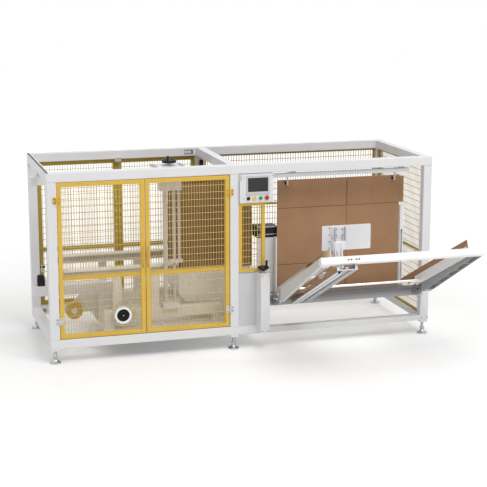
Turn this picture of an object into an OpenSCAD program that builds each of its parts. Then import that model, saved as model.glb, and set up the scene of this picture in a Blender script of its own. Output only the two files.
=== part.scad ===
// Case erector: a guarded frame machine that opens flat carton blanks.
// Origin: centre of the front left foot, on the floor. X runs along the machine, Y to its back.

/* [Frame] */
// Side of the square frame tube
tube = 80; // [60:1:100]
// Outer corner radius of the frame tube
tube_r = 5; // [2:0.5:8]
// Width of the top cross beam at the left end
left_beam_w = 36; // [30:1:80]
// Distance from the first to the last post, centre to centre
frame_len = 3470; // [3300:10:3800]
// Distance from the front posts to the back posts, centre to centre
frame_depth = 1190; // [1150:10:1300]
// Height of the frame above its underside
frame_h = 1550; // [1530:10:1650]
// Place of the middle posts along the frame
mid_x = 1620; // [1600:5:1640]
// Height of the low stretch of the front base beam under the magazine
low_beam_h = 50; // [30:1:70]

/* [Feet] */
// Height of a foot, floor to frame
foot_h = 135; // [110:1:160]
// Diameter of a foot's base
foot_d = 100; // [80:1:120]
// Diameter of a foot's threaded stem
stem_d = 26; // [20:1:32]
// Side of the flange plate over a foot
flange_w = 76; // [60:1:80]
// Thickness of the flange plate over a foot
flange_t = 8; // [5:1:12]

/* [Doors and guards] */
// Gap around a door
door_gap = 6; // [5:0.5:8]
// Width of a door's stiles and rails
stile_w = 38; // [30:1:50]
// Depth of a door's stiles and rails
stile_d = 30; // [24:1:40]
// Height of the middle rail's centre above the frame's underside
mid_rail_h = 624; // [550:1:700]
// Spacing of the upright mesh wires
mesh_px = 38; // [30:1:60]
// Spacing of the level mesh wires
mesh_pz = 64; // [50:1:80]
// Thickness of a mesh wire
wire = 4; // [3:0.5:5]
// Depth of a mesh behind the front of its frame
mesh_set = 4; // [2:0.5:8]
// Side of the bars that edge a fixed guard
guard_bar = 20; // [16:1:30]
// Height of the rear guard's middle rail above the frame's underside
guard_rail_h = 960; // [800:5:1100]
// Height of the end guard's middle rail above the frame's underside
end_rail_h = 640; // [600:5:900]
// Width of the bars of the guard beside the control box
small_bar = 30; // [24:1:36]
// Length of a door handle
handle_len = 145; // [110:1:180]
// Height of a door handle's centre above the frame's underside
handle_h = 772; // [740:1:900]
// Reach of a door handle
handle_out = 42; // [35:1:60]
// Diameter of a door handle's bar
handle_d = 14; // [10:1:18]
// Radius of a hinge pin
pin_r = 4; // [3:0.5:5]
// Radius of a hinge knuckle
knuckle_r = 8; // [7:0.5:9]
// Height of a hinge
hinge_h = 60; // [50:1:80]
// Width of a hinge leaf
leaf_w = 28; // [22:1:34]
// Thickness of a hinge leaf
leaf_t = 4; // [3:0.5:5]
// Height of the upper hinges above the frame's underside
upper_hinge_h = 1310; // [1200:5:1400]
// Height of the lower hinges above the frame's underside
lower_hinge_h = 246; // [150:5:350]

/* [Control] */
// Width of the control box
control_w = 316; // [290:1:340]
// Height of the control box
control_h = 256; // [240:1:260]
// Depth of the control box
control_d = 160; // [120:1:200]
// Distance that the control box stands proud of the frame
control_out = 18; // [10:1:40]
// Width of the screen's bezel
bezel_w = 209; // [180:1:220]
// Height of the screen's bezel
bezel_h = 163; // [140:1:170]
// Thickness of the screen's bezel
bezel_t = 6; // [4:0.5:10]
// Width of the bezel around the glass
bezel_edge = 11; // [9:0.5:20]
// Height of the control buttons' row above the bottom of the box
button_h = 41; // [36:1:46]
// Diameter of a control button
button_d = 36; // [28:1:40]
// Spacing of the control buttons
button_p = 57; // [50:1:60]

/* [Adjuster column] */
// Width of the adjuster column
column_w = 84; // [70:1:100]
// Reach of the adjuster column in front of the frame
column_out = 145; // [120:1:180]
// Height of the adjuster column's top above the frame's underside
column_h = 580; // [560:1:600]
// Drop of the column's foot below the top of the base beam
column_drop = 38; // [20:1:60]
// Width of the panel between the middle post and the column
panel_w = 163; // [150:1:180]
// Thickness of the panel between the middle post and the column
panel_t = 20; // [10:1:30]
// Gap between the panel and the guard over it
panel_gap = 12; // [6:1:20]

/* [Hand wheels] */
// Diameter of the column's hand wheel
column_wheel_d = 105; // [90:1:110]
// Diameter of the lift's hand wheel
lift_wheel_d = 132; // [110:1:150]
// Diameter of the dial's hand wheel
dial_wheel_d = 128; // [110:1:140]
// Diameter of the dial plate
dial_d = 164; // [150:1:170]
// Radius of a wheel's spindle
spindle_r = 6; // [5:0.5:8]
// Radial clearance of pins, spindles and hubs
fit = 0.05; // [0.02:0.01:0.08]
// Height of a wheel's hub
hub_h = 30; // [24:1:40]
// Height of the collar under a wheel
collar_h = 14; // [10:1:24]

/* [Magazine] */
// Height of the magazine's cross beam above the frame's underside
cross_h = 260; // [220:1:300]
// Rise of the magazine ramp from level
ramp_angle = 25.4; // [20:0.1:30]
// Length of the ramp rails
ramp_len = 1220; // [1100:5:1300]
// Width of the right rail and of the room for the left one
rail_w = 80; // [60:1:90]
// Depth of a ramp rail at its low end
rail_deep = 120; // [100:1:140]
// Depth of a ramp rail at its high end
rail_shallow = 62; // [50:1:80]
// Wall of a ramp rail
rail_wall = 6; // [4:0.5:10]
// Width of the left rail
rail_left_w = 30; // [20:1:60]
// Distance of the ramp's low end in front of the frame's front posts
ramp_front = 171; // [150:1:200]
// Height of the ramp's low end above the frame's underside
ramp_base = 422; // [400:1:450]
// Left side of the left ramp rail
rail_left_x = 1976; // [1960:1:2000]
// Gap between the right ramp rail and the last post
rail_clear = 10; // [6:1:20]
// Thickness of a bracket plate under a ramp rail
bracket_t = 10; // [6:1:14]
// Diameter of the width shaft
shaft_d = 24; // [18:1:30]
// Height of a guide board above the ramp
board_up = 88; // [70:1:100]
// Thickness of a guide board
board_t = 6; // [4:0.5:10]
// Distance of a guide board from its rail
board_off = 30; // [20:1:40]
// Length of the guide strips beyond the ramp's low end
strip_len = 325; // [200:5:340]
// Height of a guide strip's lower edge above the ramp
strip_up = 40; // [36:1:50]
// Middle of the centre guide along the machine
guide_x = 2205; // [2190:1:2230]
// Width of the centre guide
guide_w = 180; // [170:1:200]
// Drop of the centre guide's top below the ramp
guide_drop = 62; // [62:1:80]
// Width of the centre guide's side rails
guide_rail = 22; // [16:1:28]
// Height of the centre guide
guide_h = 46; // [36:1:60]
// Diameter of the tubes under the centre guide
guide_tube_d = 22; // [16:1:26]
// Width of the feed chain
chain_w = 24; // [16:1:30]

/* [Pusher] */
// Width of the pusher plate
pusher_w = 435; // [380:1:460]
// Height of the pusher plate
pusher_h = 213; // [180:1:260]
// Thickness of the pusher plate
pusher_t = 6; // [4:0.5:10]
// Distance of the resting pusher up the ramp
pusher_rest = 840; // [800:5:900]
// Height of the pusher plate's lower edge above its carriage at rest
pusher_up = 182; // [150:1:220]
// Distance of the pusher's arm to the right of the centre guide
arm_shift = 65; // [40:1:70]
// Distance of the pusher plate to the right of its arm
pusher_shift = 91; // [60:1:120]
// Running clearance under the pusher's carriage
run_gap = 0.3; // [0.2:0.05:0.6]

/* [Carton] */
// Play of the flat blank between the guide boards
blank_play = 17; // [10:1:30]
// Width of the opened carton
carton_w = 520; // [480:1:540]
// Height of the carton's body
carton_h = 528; // [480:1:560]
// Depth of a carton flap
flap = 262; // [200:1:270]
// Thickness of the board
board = 6; // [4:0.5:8]
// Width of the slots between flaps
slot_w = 8; // [6:1:14]
// Width of the back layer's tab beyond the flat blank
tab_w = 48; // [30:1:60]
// Front of the flat blank, behind the front posts' centres
blank_y = 200; // [180:1:220]
// Gap between the opened carton and the suction head
carton_gap = 25; // [15:1:40]

/* [Interior] */
// Height of the carton's track above the frame's underside
track_h = 548; // [520:1:580]
// Height of the side belt units
belt_h = 76; // [60:1:90]
// Depth of the side belt units
belt_d = 90; // [70:1:110]
// Left end of the side belt units
belt_x = 120; // [100:1:140]
// Length of the side belt units
belt_len = 1060; // [1000:5:1070]
// Thickness of a belt
belt_t = 4; // [3:0.5:6]
// Gap between the side belts and the carton
belt_gap = 12; // [8:1:20]
// Thickness of the bed plate
bed_t = 14; // [8:1:20]
// Left edge of the bed plate
bed_x = 470; // [440:1:475]
// Side of the lower beams
lower_w = 80; // [60:1:90]
// Height of the lower beams' underside above the frame's underside
lower_h = 149; // [130:1:170]
// Height of a lower beam
lower_tall = 93; // [80:1:110]
// Gap between the upper guide beam and the top beams above it
upper_beam_gap = 30; // [20:1:60]
// Side of the upper guide beam
upper_beam_w = 80; // [60:1:84]
// Reach of the upper guide beam and the outfeed beam beyond the frame
end_reach = 66; // [50:1:80]
// Height of the outfeed beam's underside above the frame's underside
outfeed_h = 356; // [330:1:380]
// Height of the outfeed beam
outfeed_tall = 92; // [80:1:110]
// Depth of the outfeed beam
outfeed_w = 90; // [80:1:100]
// Place of the lift along the machine
lift_x = 1085; // [1080:1:1095]
// Place of the lift behind the front posts' centres
lift_y = 200; // [190:1:210]
// Radius of the tape roll
roll_r = 78; // [60:1:90]
// Width of the tape roll
roll_w = 60; // [48:1:76]
// Radius of the tape roll's core
core_r = 28; // [24:1:40]

/* [Hidden] */
$fn = 48;

// Heights from the floor
z0 = foot_h;
z_base = z0 + tube;
z_top = z0 + frame_h - tube;
z_crown = z0 + frame_h;
half = tube / 2;

// Sides of the bays between the posts
bay_l = half;
bay_m = mid_x - half;
bay_mr = mid_x + half;
bay_r = frame_len - half;
back_y = frame_depth;
mesh_gap = 2;

// Doors
door_w = (bay_m - bay_l - 3 * door_gap) / 2;
door_h = z_top - z_base - 2 * door_gap;
door_z = z_base + door_gap;
pin_out = 10;
hinge_heights = [lower_hinge_h, upper_hinge_h];

// Adjuster column and control box
column_x = bay_mr + panel_w;
column_end = column_x + column_w;
column_top = z0 + column_h;
control_gap = 4;
control_top = z_top - control_gap;
control_bottom = control_top - control_h;
control_y = -half - control_out;
guard_top = control_bottom;
guard_inset = 3;
head_gap = 8;
guard_end = column_end - guard_inset;

// Magazine
cross_z = z0 + cross_h;
cross_top = cross_z + tube;
cross_y = -tube;
ramp_w = bay_r - rail_clear - rail_left_x;
rail_right_x = rail_left_x + ramp_w - rail_w;
board_left_x = rail_left_x + rail_w + board_off + board_t;
board_right_x = rail_right_x - board_off - board_t;
arm_x = guide_x + arm_shift;
shaft_up = 160;
shaft_z = -29;
carriage_t = 16;
ramp_z = z0 + ramp_base;
board_low = 52;
board_start = 60;
shelf_t = 12;
shelf_z = cross_z + tube * 0.4;
shelf_end = blank_y + 60;

// Carton
blank_x = board_left_x;
blank_len = board_right_x - board_left_x - blank_play;
carton_len = blank_len - carton_w;
suction_x = column_end + head_gap;
carton_x = suction_x - carton_gap - carton_len;
blank_h = carton_h + 2 * flap;
blank_top = shelf_z + shelf_t + blank_h;
track_z = z0 + track_h;
carton_y = (frame_depth - carton_w) / 2;
belt_front_y = carton_y - belt_gap - belt_d;
belt_back_y = carton_y + carton_w + belt_gap;
belt_r = belt_d / 2;
middle_y = frame_depth / 2;

// Lower beams
bed_top = z_base;
lower_z = z0 + lower_h;
lower_top = lower_z + lower_tall;
lower_front_y = belt_front_y - lower_w / 2;
lower_back_y = belt_back_y + belt_d - lower_w / 2;
lower_end = bay_m - 15;
lower_start = bed_x + 10;

// Lift: the rods hang from a bridge on the front beam
bridge_x = lift_x - 145;
bridge_w = 248;
bridge_d = 290;
bridge_t = 24;
bridge_wall = 10;
bridge_up = 45;
bridge_z = z_top + bridge_up;
guide_beam_z = z_top - upper_beam_gap - upper_beam_w;

// Hand wheel places
column_wheel_p = [column_x + column_w / 2, -half - column_out / 2, column_top];
lift_wheel_p = [lift_x, lift_y, bridge_z + bridge_t];
dial_x = 633;
dial_post = 40;
dial_p = [dial_x, lower_front_y, lower_z + lower_tall * 0.75];

// Shapes that repeat

module rounded_rect(w, h, r) {
    translate([r, 0]) square([w - 2 * r, h]);
    translate([0, r]) square([w, h - 2 * r]);
    for (x = [r, w - r], y = [r, h - r]) translate([x, y]) circle(r);
}

module box(x0, x1, y0, y1, z_low, z_high) {
    translate([x0, y0, z_low]) cube([x1 - x0, y1 - y0, z_high - z_low]);
}

module beam_x(x0, x1, y, z, w = tube, h = tube, r = tube_r) {
    translate([x0, y, z]) rotate([90, 0, 90]) linear_extrude(x1 - x0) rounded_rect(w, h, r);
}

module beam_y(y0, y1, x, z, w = tube, h = tube, r = tube_r) {
    translate([x + w, y0, z]) rotate([90, 0, 180]) linear_extrude(y1 - y0) rounded_rect(w, h, r);
}

module beam_z(x, y, z_low, z_high, w = tube, d = tube, r = tube_r) {
    translate([x, y, z_low]) linear_extrude(z_high - z_low) rounded_rect(w, d, r);
}

// Wires at even spacing that fill a width and a height, crossing and fused
module mesh_2d(w, h) {
    nx = max(1, floor(w / mesh_px));
    nz = max(1, floor(h / mesh_pz));
    for (i = [0 : nx]) translate([i * (w - wire) / nx, 0]) square([wire, h]);
    for (k = [0 : nz]) translate([0, k * (h - wire) / nz]) square([w, wire]);
}

module mesh_xz(x0, x1, y, z_low, z_high) {
    translate([x0, y + wire, z_low]) rotate([90, 0, 0]) linear_extrude(wire)
        mesh_2d(x1 - x0, z_high - z_low);
}

module mesh_yz(y0, y1, x, z_low, z_high) {
    translate([x, y0, z_low]) rotate([90, 0, 90]) linear_extrude(wire)
        mesh_2d(y1 - y0, z_high - z_low);
}

// Four sides of a flat frame and a rail across it, drawn in its own plane
module frame_2d(w, h, edge, rail_h = 0) {
    difference() {
        square([w, h]);
        translate([edge, edge]) square([w - 2 * edge, h - 2 * edge]);
    }
    if (rail_h > 0) translate([edge / 2, rail_h - edge / 2]) square([w - edge, edge]);
}

// Places a child on the ramp: X as the machine, -Y up the ramp, Z square to it
module on_ramp() {
    translate([0, -ramp_front, ramp_z]) rotate([-ramp_angle, 0, 0]) children();
}

// Frame

module base_long_beams() {
    color("whitesmoke") {
        beam_x(-half, column_end, -half, z0);
        beam_x(column_end, frame_len + half, -half, z0, tube, low_beam_h);
        beam_x(-half, frame_len + half, back_y - half, z0);
    }
}

module base_cross_beams() {
    color("whitesmoke")
        for (x = [0, mid_x]) beam_y(half, back_y - half, x - half, z0);
    color("whitesmoke") beam_y(half, back_y - half, frame_len - half, z0, tube, low_beam_h);
}

module posts() {
    color("whitesmoke") {
        for (x = [0, mid_x]) beam_z(x - half, -half, z_base, z_top);
        beam_z(frame_len - half, -half, z0 + low_beam_h, z_top);
        for (x = [0, mid_x, frame_len]) beam_z(x - half, back_y - half, z_base, z_top);
    }
}

module top_long_beams() {
    color("whitesmoke")
        for (y = [0, back_y]) beam_x(-half, frame_len + half, y - half, z_top);
}

module top_cross_beams() {
    color("whitesmoke") {
        beam_y(half, back_y - half, -half, z_top, left_beam_w, tube);
        for (x = [mid_x, frame_len]) beam_y(half, back_y - half, x - half, z_top);
    }
}

module leveling_foot() {
    rim = 12;
    cone = 26;
    nut_h = 16;
    cylinder(h = rim, d = foot_d);
    translate([0, 0, rim]) cylinder(h = cone, d1 = foot_d - 8, d2 = stem_d + 14);
    translate([0, 0, rim]) cylinder(h = foot_h - rim, d = stem_d);
    translate([0, 0, foot_h - flange_t - nut_h]) cylinder(h = nut_h, d = stem_d * 1.7, $fn = 6);
    translate([-flange_w / 2, -flange_w / 2, foot_h - flange_t])
        cube([flange_w, flange_w, flange_t]);
}

module leveling_feet() {
    color("silver")
        for (x = [0, mid_x, frame_len], y = [0, back_y]) translate([x, y, 0]) leveling_foot();
}

module bed_plate() {
    color("gainsboro") {
        box(bed_x, mid_x - half, half, back_y - half, bed_top - bed_t, bed_top);
        box(mid_x + half, column_end, half, back_y - half, bed_top - bed_t, bed_top);
    }
}

// Fixed guards

module rear_guard_frame() {
    color("goldenrod") translate([bay_mr, back_y + guard_bar / 2, z_base]) rotate([90, 0, 0])
        linear_extrude(guard_bar)
            frame_2d(bay_r - bay_mr, z_top - z_base, guard_bar, guard_rail_h - tube);
}

module rear_mesh(index) {
    inner_l = bay_mr + guard_bar;
    step = (bay_r - guard_bar - inner_l) / 3;
    color("goldenrod") mesh_xz(inner_l + index * step + mesh_gap,
        inner_l + (index + 1) * step - mesh_gap, back_y + guard_bar / 2,
        z_base + guard_bar / 2, z_top - guard_bar / 2);
}

module rear_mesh_left() { rear_mesh(0); }
module rear_mesh_middle() { rear_mesh(1); }
module rear_mesh_right() { rear_mesh(2); }

module end_guard_frame() {
    low = z0 + low_beam_h;
    color("goldenrod") translate([frame_len - guard_bar / 2, half, low]) rotate([90, 0, 90])
        linear_extrude(guard_bar)
            frame_2d(back_y - tube, z_top - low, guard_bar, end_rail_h - low_beam_h);
}

module end_mesh(index) {
    inner = half + guard_bar;
    step = (back_y - tube - 2 * guard_bar) / 2;
    color("goldenrod") mesh_yz(inner + index * step + mesh_gap,
        inner + (index + 1) * step - mesh_gap, frame_len + guard_bar / 2,
        z0 + low_beam_h + guard_bar / 2, z_top - guard_bar / 2);
}

module end_mesh_front() { end_mesh(0); }
module end_mesh_back() { end_mesh(1); }

module control_guard() {
    w = guard_end - bay_mr;
    low = column_top;
    color("goldenrod") {
        translate([bay_mr, -half + stile_d, low]) rotate([90, 0, 0]) linear_extrude(stile_d)
            frame_2d(w, guard_top - low, small_bar);
        mesh_xz(bay_mr + small_bar / 2, guard_end - small_bar / 2, -half + mesh_set,
            low + small_bar / 2, guard_top - small_bar / 2);
    }
}

// Doors

// One half of a hinge about the Z axis. The leaf lies on the +X side, behind the pin.
module hinge_half(low, high, pinned) {
    leaf_start = 7;
    difference() {
        union() {
            translate([0, 0, low]) cylinder(h = high - low, r = knuckle_r);
            box(0, leaf_start + 1, pin_out - leaf_t, pin_out, low, high);
            box(leaf_start, leaf_start + leaf_w, pin_out - leaf_t, pin_out, 0, hinge_h);
        }
        if (!pinned) translate([0, 0, low - 1]) cylinder(h = high - low + 2, r = pin_r + fit);
    }
    if (pinned) cylinder(h = hinge_h, r = pin_r);
}

module bow_handle() {
    reach = handle_out - handle_d / 2;
    bend = 18;
    for (s = [-1, 1]) {
        translate([0, 0, s * (handle_len / 2 - handle_d / 2)]) rotate([90, 0, 0])
            cylinder(h = reach - bend, d = handle_d);
        translate([0, -reach + bend, s * (handle_len / 2 - handle_d / 2 - bend)])
            rotate([0, -90, 0]) rotate([0, 0, s > 0 ? 270 : 180])
                rotate_extrude(angle = 90) translate([bend, 0]) circle(d = handle_d);
    }
    translate([0, -reach, -(handle_len / 2 - handle_d / 2 - bend)])
        cylinder(h = handle_len - handle_d - 2 * bend, d = handle_d);
}

// A door hung on its left edge, front at y = 0, lower hinge corner at the origin
module mesh_door() {
    rail_z = mid_rail_h - tube - door_gap;
    translate([0, stile_d, 0]) rotate([90, 0, 0]) linear_extrude(stile_d)
        frame_2d(door_w, door_h, stile_w);
    box(stile_w / 2, door_w - stile_w / 2, mesh_set + wire, stile_d,
        rail_z - stile_w / 2, rail_z + stile_w / 2);
    mesh_xz(stile_w / 2, door_w - stile_w / 2, mesh_set, stile_w / 2, door_h - stile_w / 2);
    translate([door_w - stile_w / 2, 0, handle_h - tube - door_gap]) bow_handle();
    for (h = hinge_heights)
        translate([-door_gap / 2, -pin_out, h - tube - door_gap - hinge_h / 2])
            hinge_half(hinge_h / 2 + 0.5, hinge_h, false);
}

module front_left_door() {
    color("goldenrod") translate([bay_l + door_gap, -half, door_z]) mesh_door();
}

module front_right_door() {
    color("goldenrod") translate([bay_m - door_gap, -half, door_z]) mirror([1, 0, 0]) mesh_door();
}

module rear_left_door() {
    color("goldenrod") translate([bay_l + door_gap, back_y + half, door_z])
        mirror([0, 1, 0]) mesh_door();
}

module rear_right_door() {
    color("goldenrod") translate([bay_m - door_gap, back_y + half, door_z])
        mirror([0, 1, 0]) mirror([1, 0, 0]) mesh_door();
}

// Fixed half of the hinges of one door edge, pin along Z at the origin
module hinge_pair() {
    for (h = hinge_heights)
        translate([0, 0, z0 + h - hinge_h / 2]) mirror([1, 0, 0])
            hinge_half(0, hinge_h / 2 - 0.5, true);
}

module door_hinges() {
    pin_l = bay_l + door_gap / 2;
    pin_r_x = bay_m - door_gap / 2;
    front = -half - pin_out;
    rear = back_y + half + pin_out;
    color("silver") {
        translate([pin_l, front, 0]) hinge_pair();
        translate([pin_r_x, front, 0]) mirror([1, 0, 0]) hinge_pair();
        translate([pin_l, rear, 0]) mirror([0, 1, 0]) hinge_pair();
        translate([pin_r_x, rear, 0]) mirror([0, 1, 0]) mirror([1, 0, 0]) hinge_pair();
    }
}

// Control side

module control_box() {
    color("whitesmoke") beam_z(bay_mr, control_y, control_bottom, control_top,
        control_w, control_d, 3);
}

module touch_screen() {
    shift = 12;
    over = 21;
    left = bay_mr + (control_w - bezel_w) / 2 + shift;
    low = control_top - over - bezel_h;
    glass = 2;
    color("gray") translate([left, control_y, low]) rotate([90, 0, 0]) difference() {
        linear_extrude(bezel_t) rounded_rect(bezel_w, bezel_h, bezel_t);
        translate([bezel_edge, bezel_edge, bezel_t - glass])
            cube([bezel_w - 2 * bezel_edge, bezel_h - 2 * bezel_edge, glass + 1]);
    }
}

module control_buttons() {
    shift = 8;
    ring_h = 6;
    cap_h = 14;
    first = bay_mr + control_w / 2 - 1.5 * button_p + shift;
    low = control_bottom + button_h;
    for (i = [0 : 3])
        color(["black", "gold", "green", "red"][i])
            translate([first + i * button_p, control_y, low]) rotate([90, 0, 0]) {
                cylinder(h = ring_h, d = button_d);
                cylinder(h = cap_h, d = button_d * 0.74);
            }
}

module lower_panel() {
    color("whitesmoke") box(bay_mr, column_x, -half, -half + panel_t, z_base,
        column_top - panel_gap);
}

module adjuster_column() {
    color("whitesmoke") {
        beam_z(column_x, -half - column_out, z_base - column_drop, column_top,
            column_w, column_out, 6);
        box(column_x, column_end, -half - 6, 0, z_base, column_top);
    }
}

// Magazine

module magazine_crossbeam() {
    color("whitesmoke") {
        beam_x(column_end, bay_r, cross_y, cross_z);
        box(rail_left_x + 70, rail_right_x - 10, -4, shelf_end, shelf_z, shelf_z + shelf_t);
    }
}

module width_shaft() {
    color("silver") on_ramp() translate([rail_left_x + rail_left_w, -shaft_up, shaft_z])
        rotate([0, 90, 0]) cylinder(h = ramp_w - rail_w - rail_left_w, d = shaft_d);
}

// A tapered rail, cut off square at its low end
module ramp_rail(start, w) {
    rotate([90, 0, 90]) linear_extrude(w)
        polygon([[0, 0], [-ramp_len, 0], [-ramp_len, -rail_shallow], [-start, -rail_deep]]);
}

// The left rail is closed. The right one is a channel, open underneath, with ribs across it.
module magazine_side_rails() {
    ribs = 5;
    rib_t = 8;
    start = 76;
    solid_end = 60;
    bay = (ramp_len - start - 2 * rail_wall - solid_end) / ribs;
    color("gainsboro") on_ramp() {
        translate([rail_left_x, 0, 0]) ramp_rail(start, rail_left_w);
        translate([rail_right_x, 0, 0]) difference() {
            ramp_rail(start, rail_w);
            for (i = [0 : ribs - 1])
                translate([rail_wall, -ramp_len + rail_wall + i * bay, -rail_deep - 1])
                    cube([rail_w - 2 * rail_wall, bay - rib_t, rail_deep + 1 - rail_wall]);
        }
    }
}

// Gusset plates that carry the rails on the cross beam
module rail_brackets() {
    edge = 12;
    reach = 120;
    rise = reach * tan(ramp_angle);
    color("darkgray")
        for (x = [rail_left_x - bracket_t, rail_right_x - bracket_t])
            translate([x, 0, 0]) rotate([90, 0, 90]) linear_extrude(bracket_t)
                polygon([
                    [cross_y, cross_z + edge], [cross_y, cross_top + edge],
                    [-ramp_front, ramp_z - edge], [-ramp_front - reach, ramp_z - edge + rise],
                    [-ramp_front - reach, ramp_z - tube], [-ramp_front - reach / 2, cross_z + half]
                ]);
}

module magazine_front_bar() {
    side = rail_shallow;
    color("white") on_ramp() translate([0, -ramp_len - side, -side])
        beam_x(rail_left_x, rail_left_x + ramp_w, 0, 0, side, side, 4);
}

// Side boards that keep the blanks in line, on spacers from the rails, bored for the shaft
module guide_boards() {
    spacer_d = 26;
    inset = 170;
    step_len = 150;
    step_up = 2;
    left_end = rail_left_x + rail_left_w;
    right_end = board_right_x + board_t;
    color("silver") on_ramp() {
        for (x = [board_left_x - board_t, board_right_x]) translate([x, 0, 0]) rotate([90, 0, 90])
            linear_extrude(board_t) difference() {
                polygon([
                    [-ramp_len, -board_low], [-ramp_len, board_up], [strip_len, board_up],
                    [strip_len, strip_up], [step_len, strip_up], [step_len, step_up],
                    [-board_start, step_up], [-board_start, -board_low]
                ]);
                translate([-shaft_up, shaft_z]) circle(d = shaft_d + 2 * fit);
            }
        for (y = [-ramp_len + inset, -ramp_len / 2, -board_start - inset],
             span = [[left_end, board_left_x - board_t], [right_end, rail_right_x]])
            translate([span[0], y, -board_low / 2]) rotate([0, 90, 0])
                cylinder(h = span[1] - span[0], d = spacer_d);
    }
}

guide_floor = 8;
guide_low = -guide_drop - guide_h;
guide_end = 60;

// A channel under the front bar, on a block in front of the cross beam
module center_guide() {
    block_w = 100;
    block_h = 36;
    block_out = 84;
    lap = 20;
    long = ramp_len + lap + guide_end;
    color("silver") on_ramp() translate([guide_x - guide_w / 2, -ramp_len - lap, guide_low]) {
        cube([guide_w, long, guide_floor]);
        for (x = [0, guide_w - guide_rail]) translate([x, 0, 0]) cube([guide_rail, long, guide_h]);
    }
    color("silver") box(guide_x - block_w / 2, guide_x + block_w / 2, cross_y - block_out, cross_y,
        cross_z + half, cross_z + half + block_h);
}

// Two tubes along the underside of the centre guide
module guide_tubes() {
    tube_end = 74;
    tube_start = ramp_len - 20;
    color("white") on_ramp() for (x = [-0.42, -0.24])
        translate([guide_x + x * guide_w, tube_end, guide_low - guide_tube_d / 2]) rotate([90, 0, 0])
            cylinder(h = tube_start + tube_end, d = guide_tube_d);
}

// Chain loop lying in the guide's channel
module feed_chain() {
    inset = 60;
    span = ramp_len - inset;
    r = 12;
    link = 6;
    color("dimgray") on_ramp()
        translate([guide_x - chain_w / 2, -ramp_len, guide_low + guide_floor + r]) rotate([90, 0, 90])
            linear_extrude(chain_w) difference() {
                union() {
                    translate([0, -r]) square([span, 2 * r]);
                    for (x = [0, span]) translate([x, 0]) circle(r);
                }
                translate([0, -r + link]) square([span, 2 * r - 2 * link]);
            }
}

// Pusher

sink = 3;
carriage_top = -guide_drop + run_gap + carriage_t;
pusher_foot_y = -ramp_front - pusher_rest * cos(ramp_angle) + carriage_top * sin(ramp_angle);
pusher_foot_z = ramp_z + pusher_rest * sin(ramp_angle) + carriage_top * cos(ramp_angle);
pusher_face = 64;

// A carriage on the guide, two legs, a block and a bracket on the back of the pusher plate
module pusher_arm() {
    base_l = 130;
    leg_w = 70;
    leg_t = 12;
    leg_back = 40;
    leg_front = 45;
    plate_t = 12;
    bracket_w = 96;
    block_w = 90;
    slope = tan(ramp_angle);
    block_top = pusher_up + 0.38 * pusher_h;
    color("gainsboro") on_ramp()
        translate([guide_x - guide_w / 2, -pusher_rest - base_l / 2, -guide_drop + run_gap])
            cube([guide_w, base_l, carriage_t]);
    color("gainsboro") translate([0, pusher_foot_y, pusher_foot_z]) {
        for (x = [-leg_w / 2, leg_w / 2 - leg_t])
            translate([arm_x + x, 0, 0]) rotate([90, 0, 90]) linear_extrude(leg_t)
                polygon([
                    [-leg_back, leg_back * slope - sink], [leg_front, -leg_front * slope - sink],
                    [pusher_face, pusher_up], [pusher_face, block_top], [leg_t, block_top]
                ]);
        box(arm_x - block_w / 2, arm_x + block_w / 2, leg_t, pusher_face, pusher_up, block_top);
        box(arm_x - leg_w / 2, arm_x + leg_w / 2, pusher_face - plate_t, pusher_face, pusher_up,
            pusher_up + 0.6 * pusher_h);
        box(arm_x - bracket_w / 2, arm_x + bracket_w / 2, pusher_face - plate_t, pusher_face,
            pusher_up + 0.55 * pusher_h, pusher_up + 0.95 * pusher_h);
    }
}

module pusher_plate() {
    corner = 10;
    left = arm_x + pusher_shift - pusher_w / 2;
    color("white") translate([left, pusher_foot_y + pusher_face + pusher_t, pusher_foot_z + pusher_up])
        rotate([90, 0, 0]) linear_extrude(pusher_t) rounded_rect(pusher_w, pusher_h, corner);
}

// Carton

// The flat blank: two layers, flaps above and below the body, a tab of the back layer at the right
module carton_blank() {
    tab_drop = 14;
    color("peru") translate([blank_x, blank_y + 2 * board, shelf_z + shelf_t]) rotate([90, 0, 0]) {
        linear_extrude(board) {
            square([blank_len, blank_h]);
            translate([0, blank_h - flap]) square([blank_len + tab_w, flap - tab_drop]);
        }
        translate([0, 0, board]) linear_extrude(board) difference() {
            square([blank_len, blank_h]);
            for (z = [0, blank_h - flap])
                translate([carton_len - slot_w / 2, z]) square([slot_w, flap]);
        }
    }
}

module blank_side_guides() {
    guide_d = 50;
    wall = 8;
    tall = 765;
    left_tall = 0.69 * tall;
    channel_w = 34;
    channel_low = 58;
    channel_tall = 480;
    base = shelf_z + shelf_t;
    gap = 8;
    color("whitesmoke") {
        translate([blank_x - gap - wall, blank_y - guide_d / 2, base]) cube([wall, guide_d, left_tall]);
        translate([blank_x + blank_len + gap, blank_y - guide_d / 2, base]) difference() {
            cube([channel_w, guide_d, tall]);
            translate([wall, -1, channel_low]) cube([channel_w - 2 * wall, guide_d - wall, channel_tall]);
        }
    }
}

stop_places = [blank_x + 83, blank_x + blank_len - 69];
roller_d = 42;
roller_w = 30;
roller_pin = 10;
roller_drop = 26;

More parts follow.
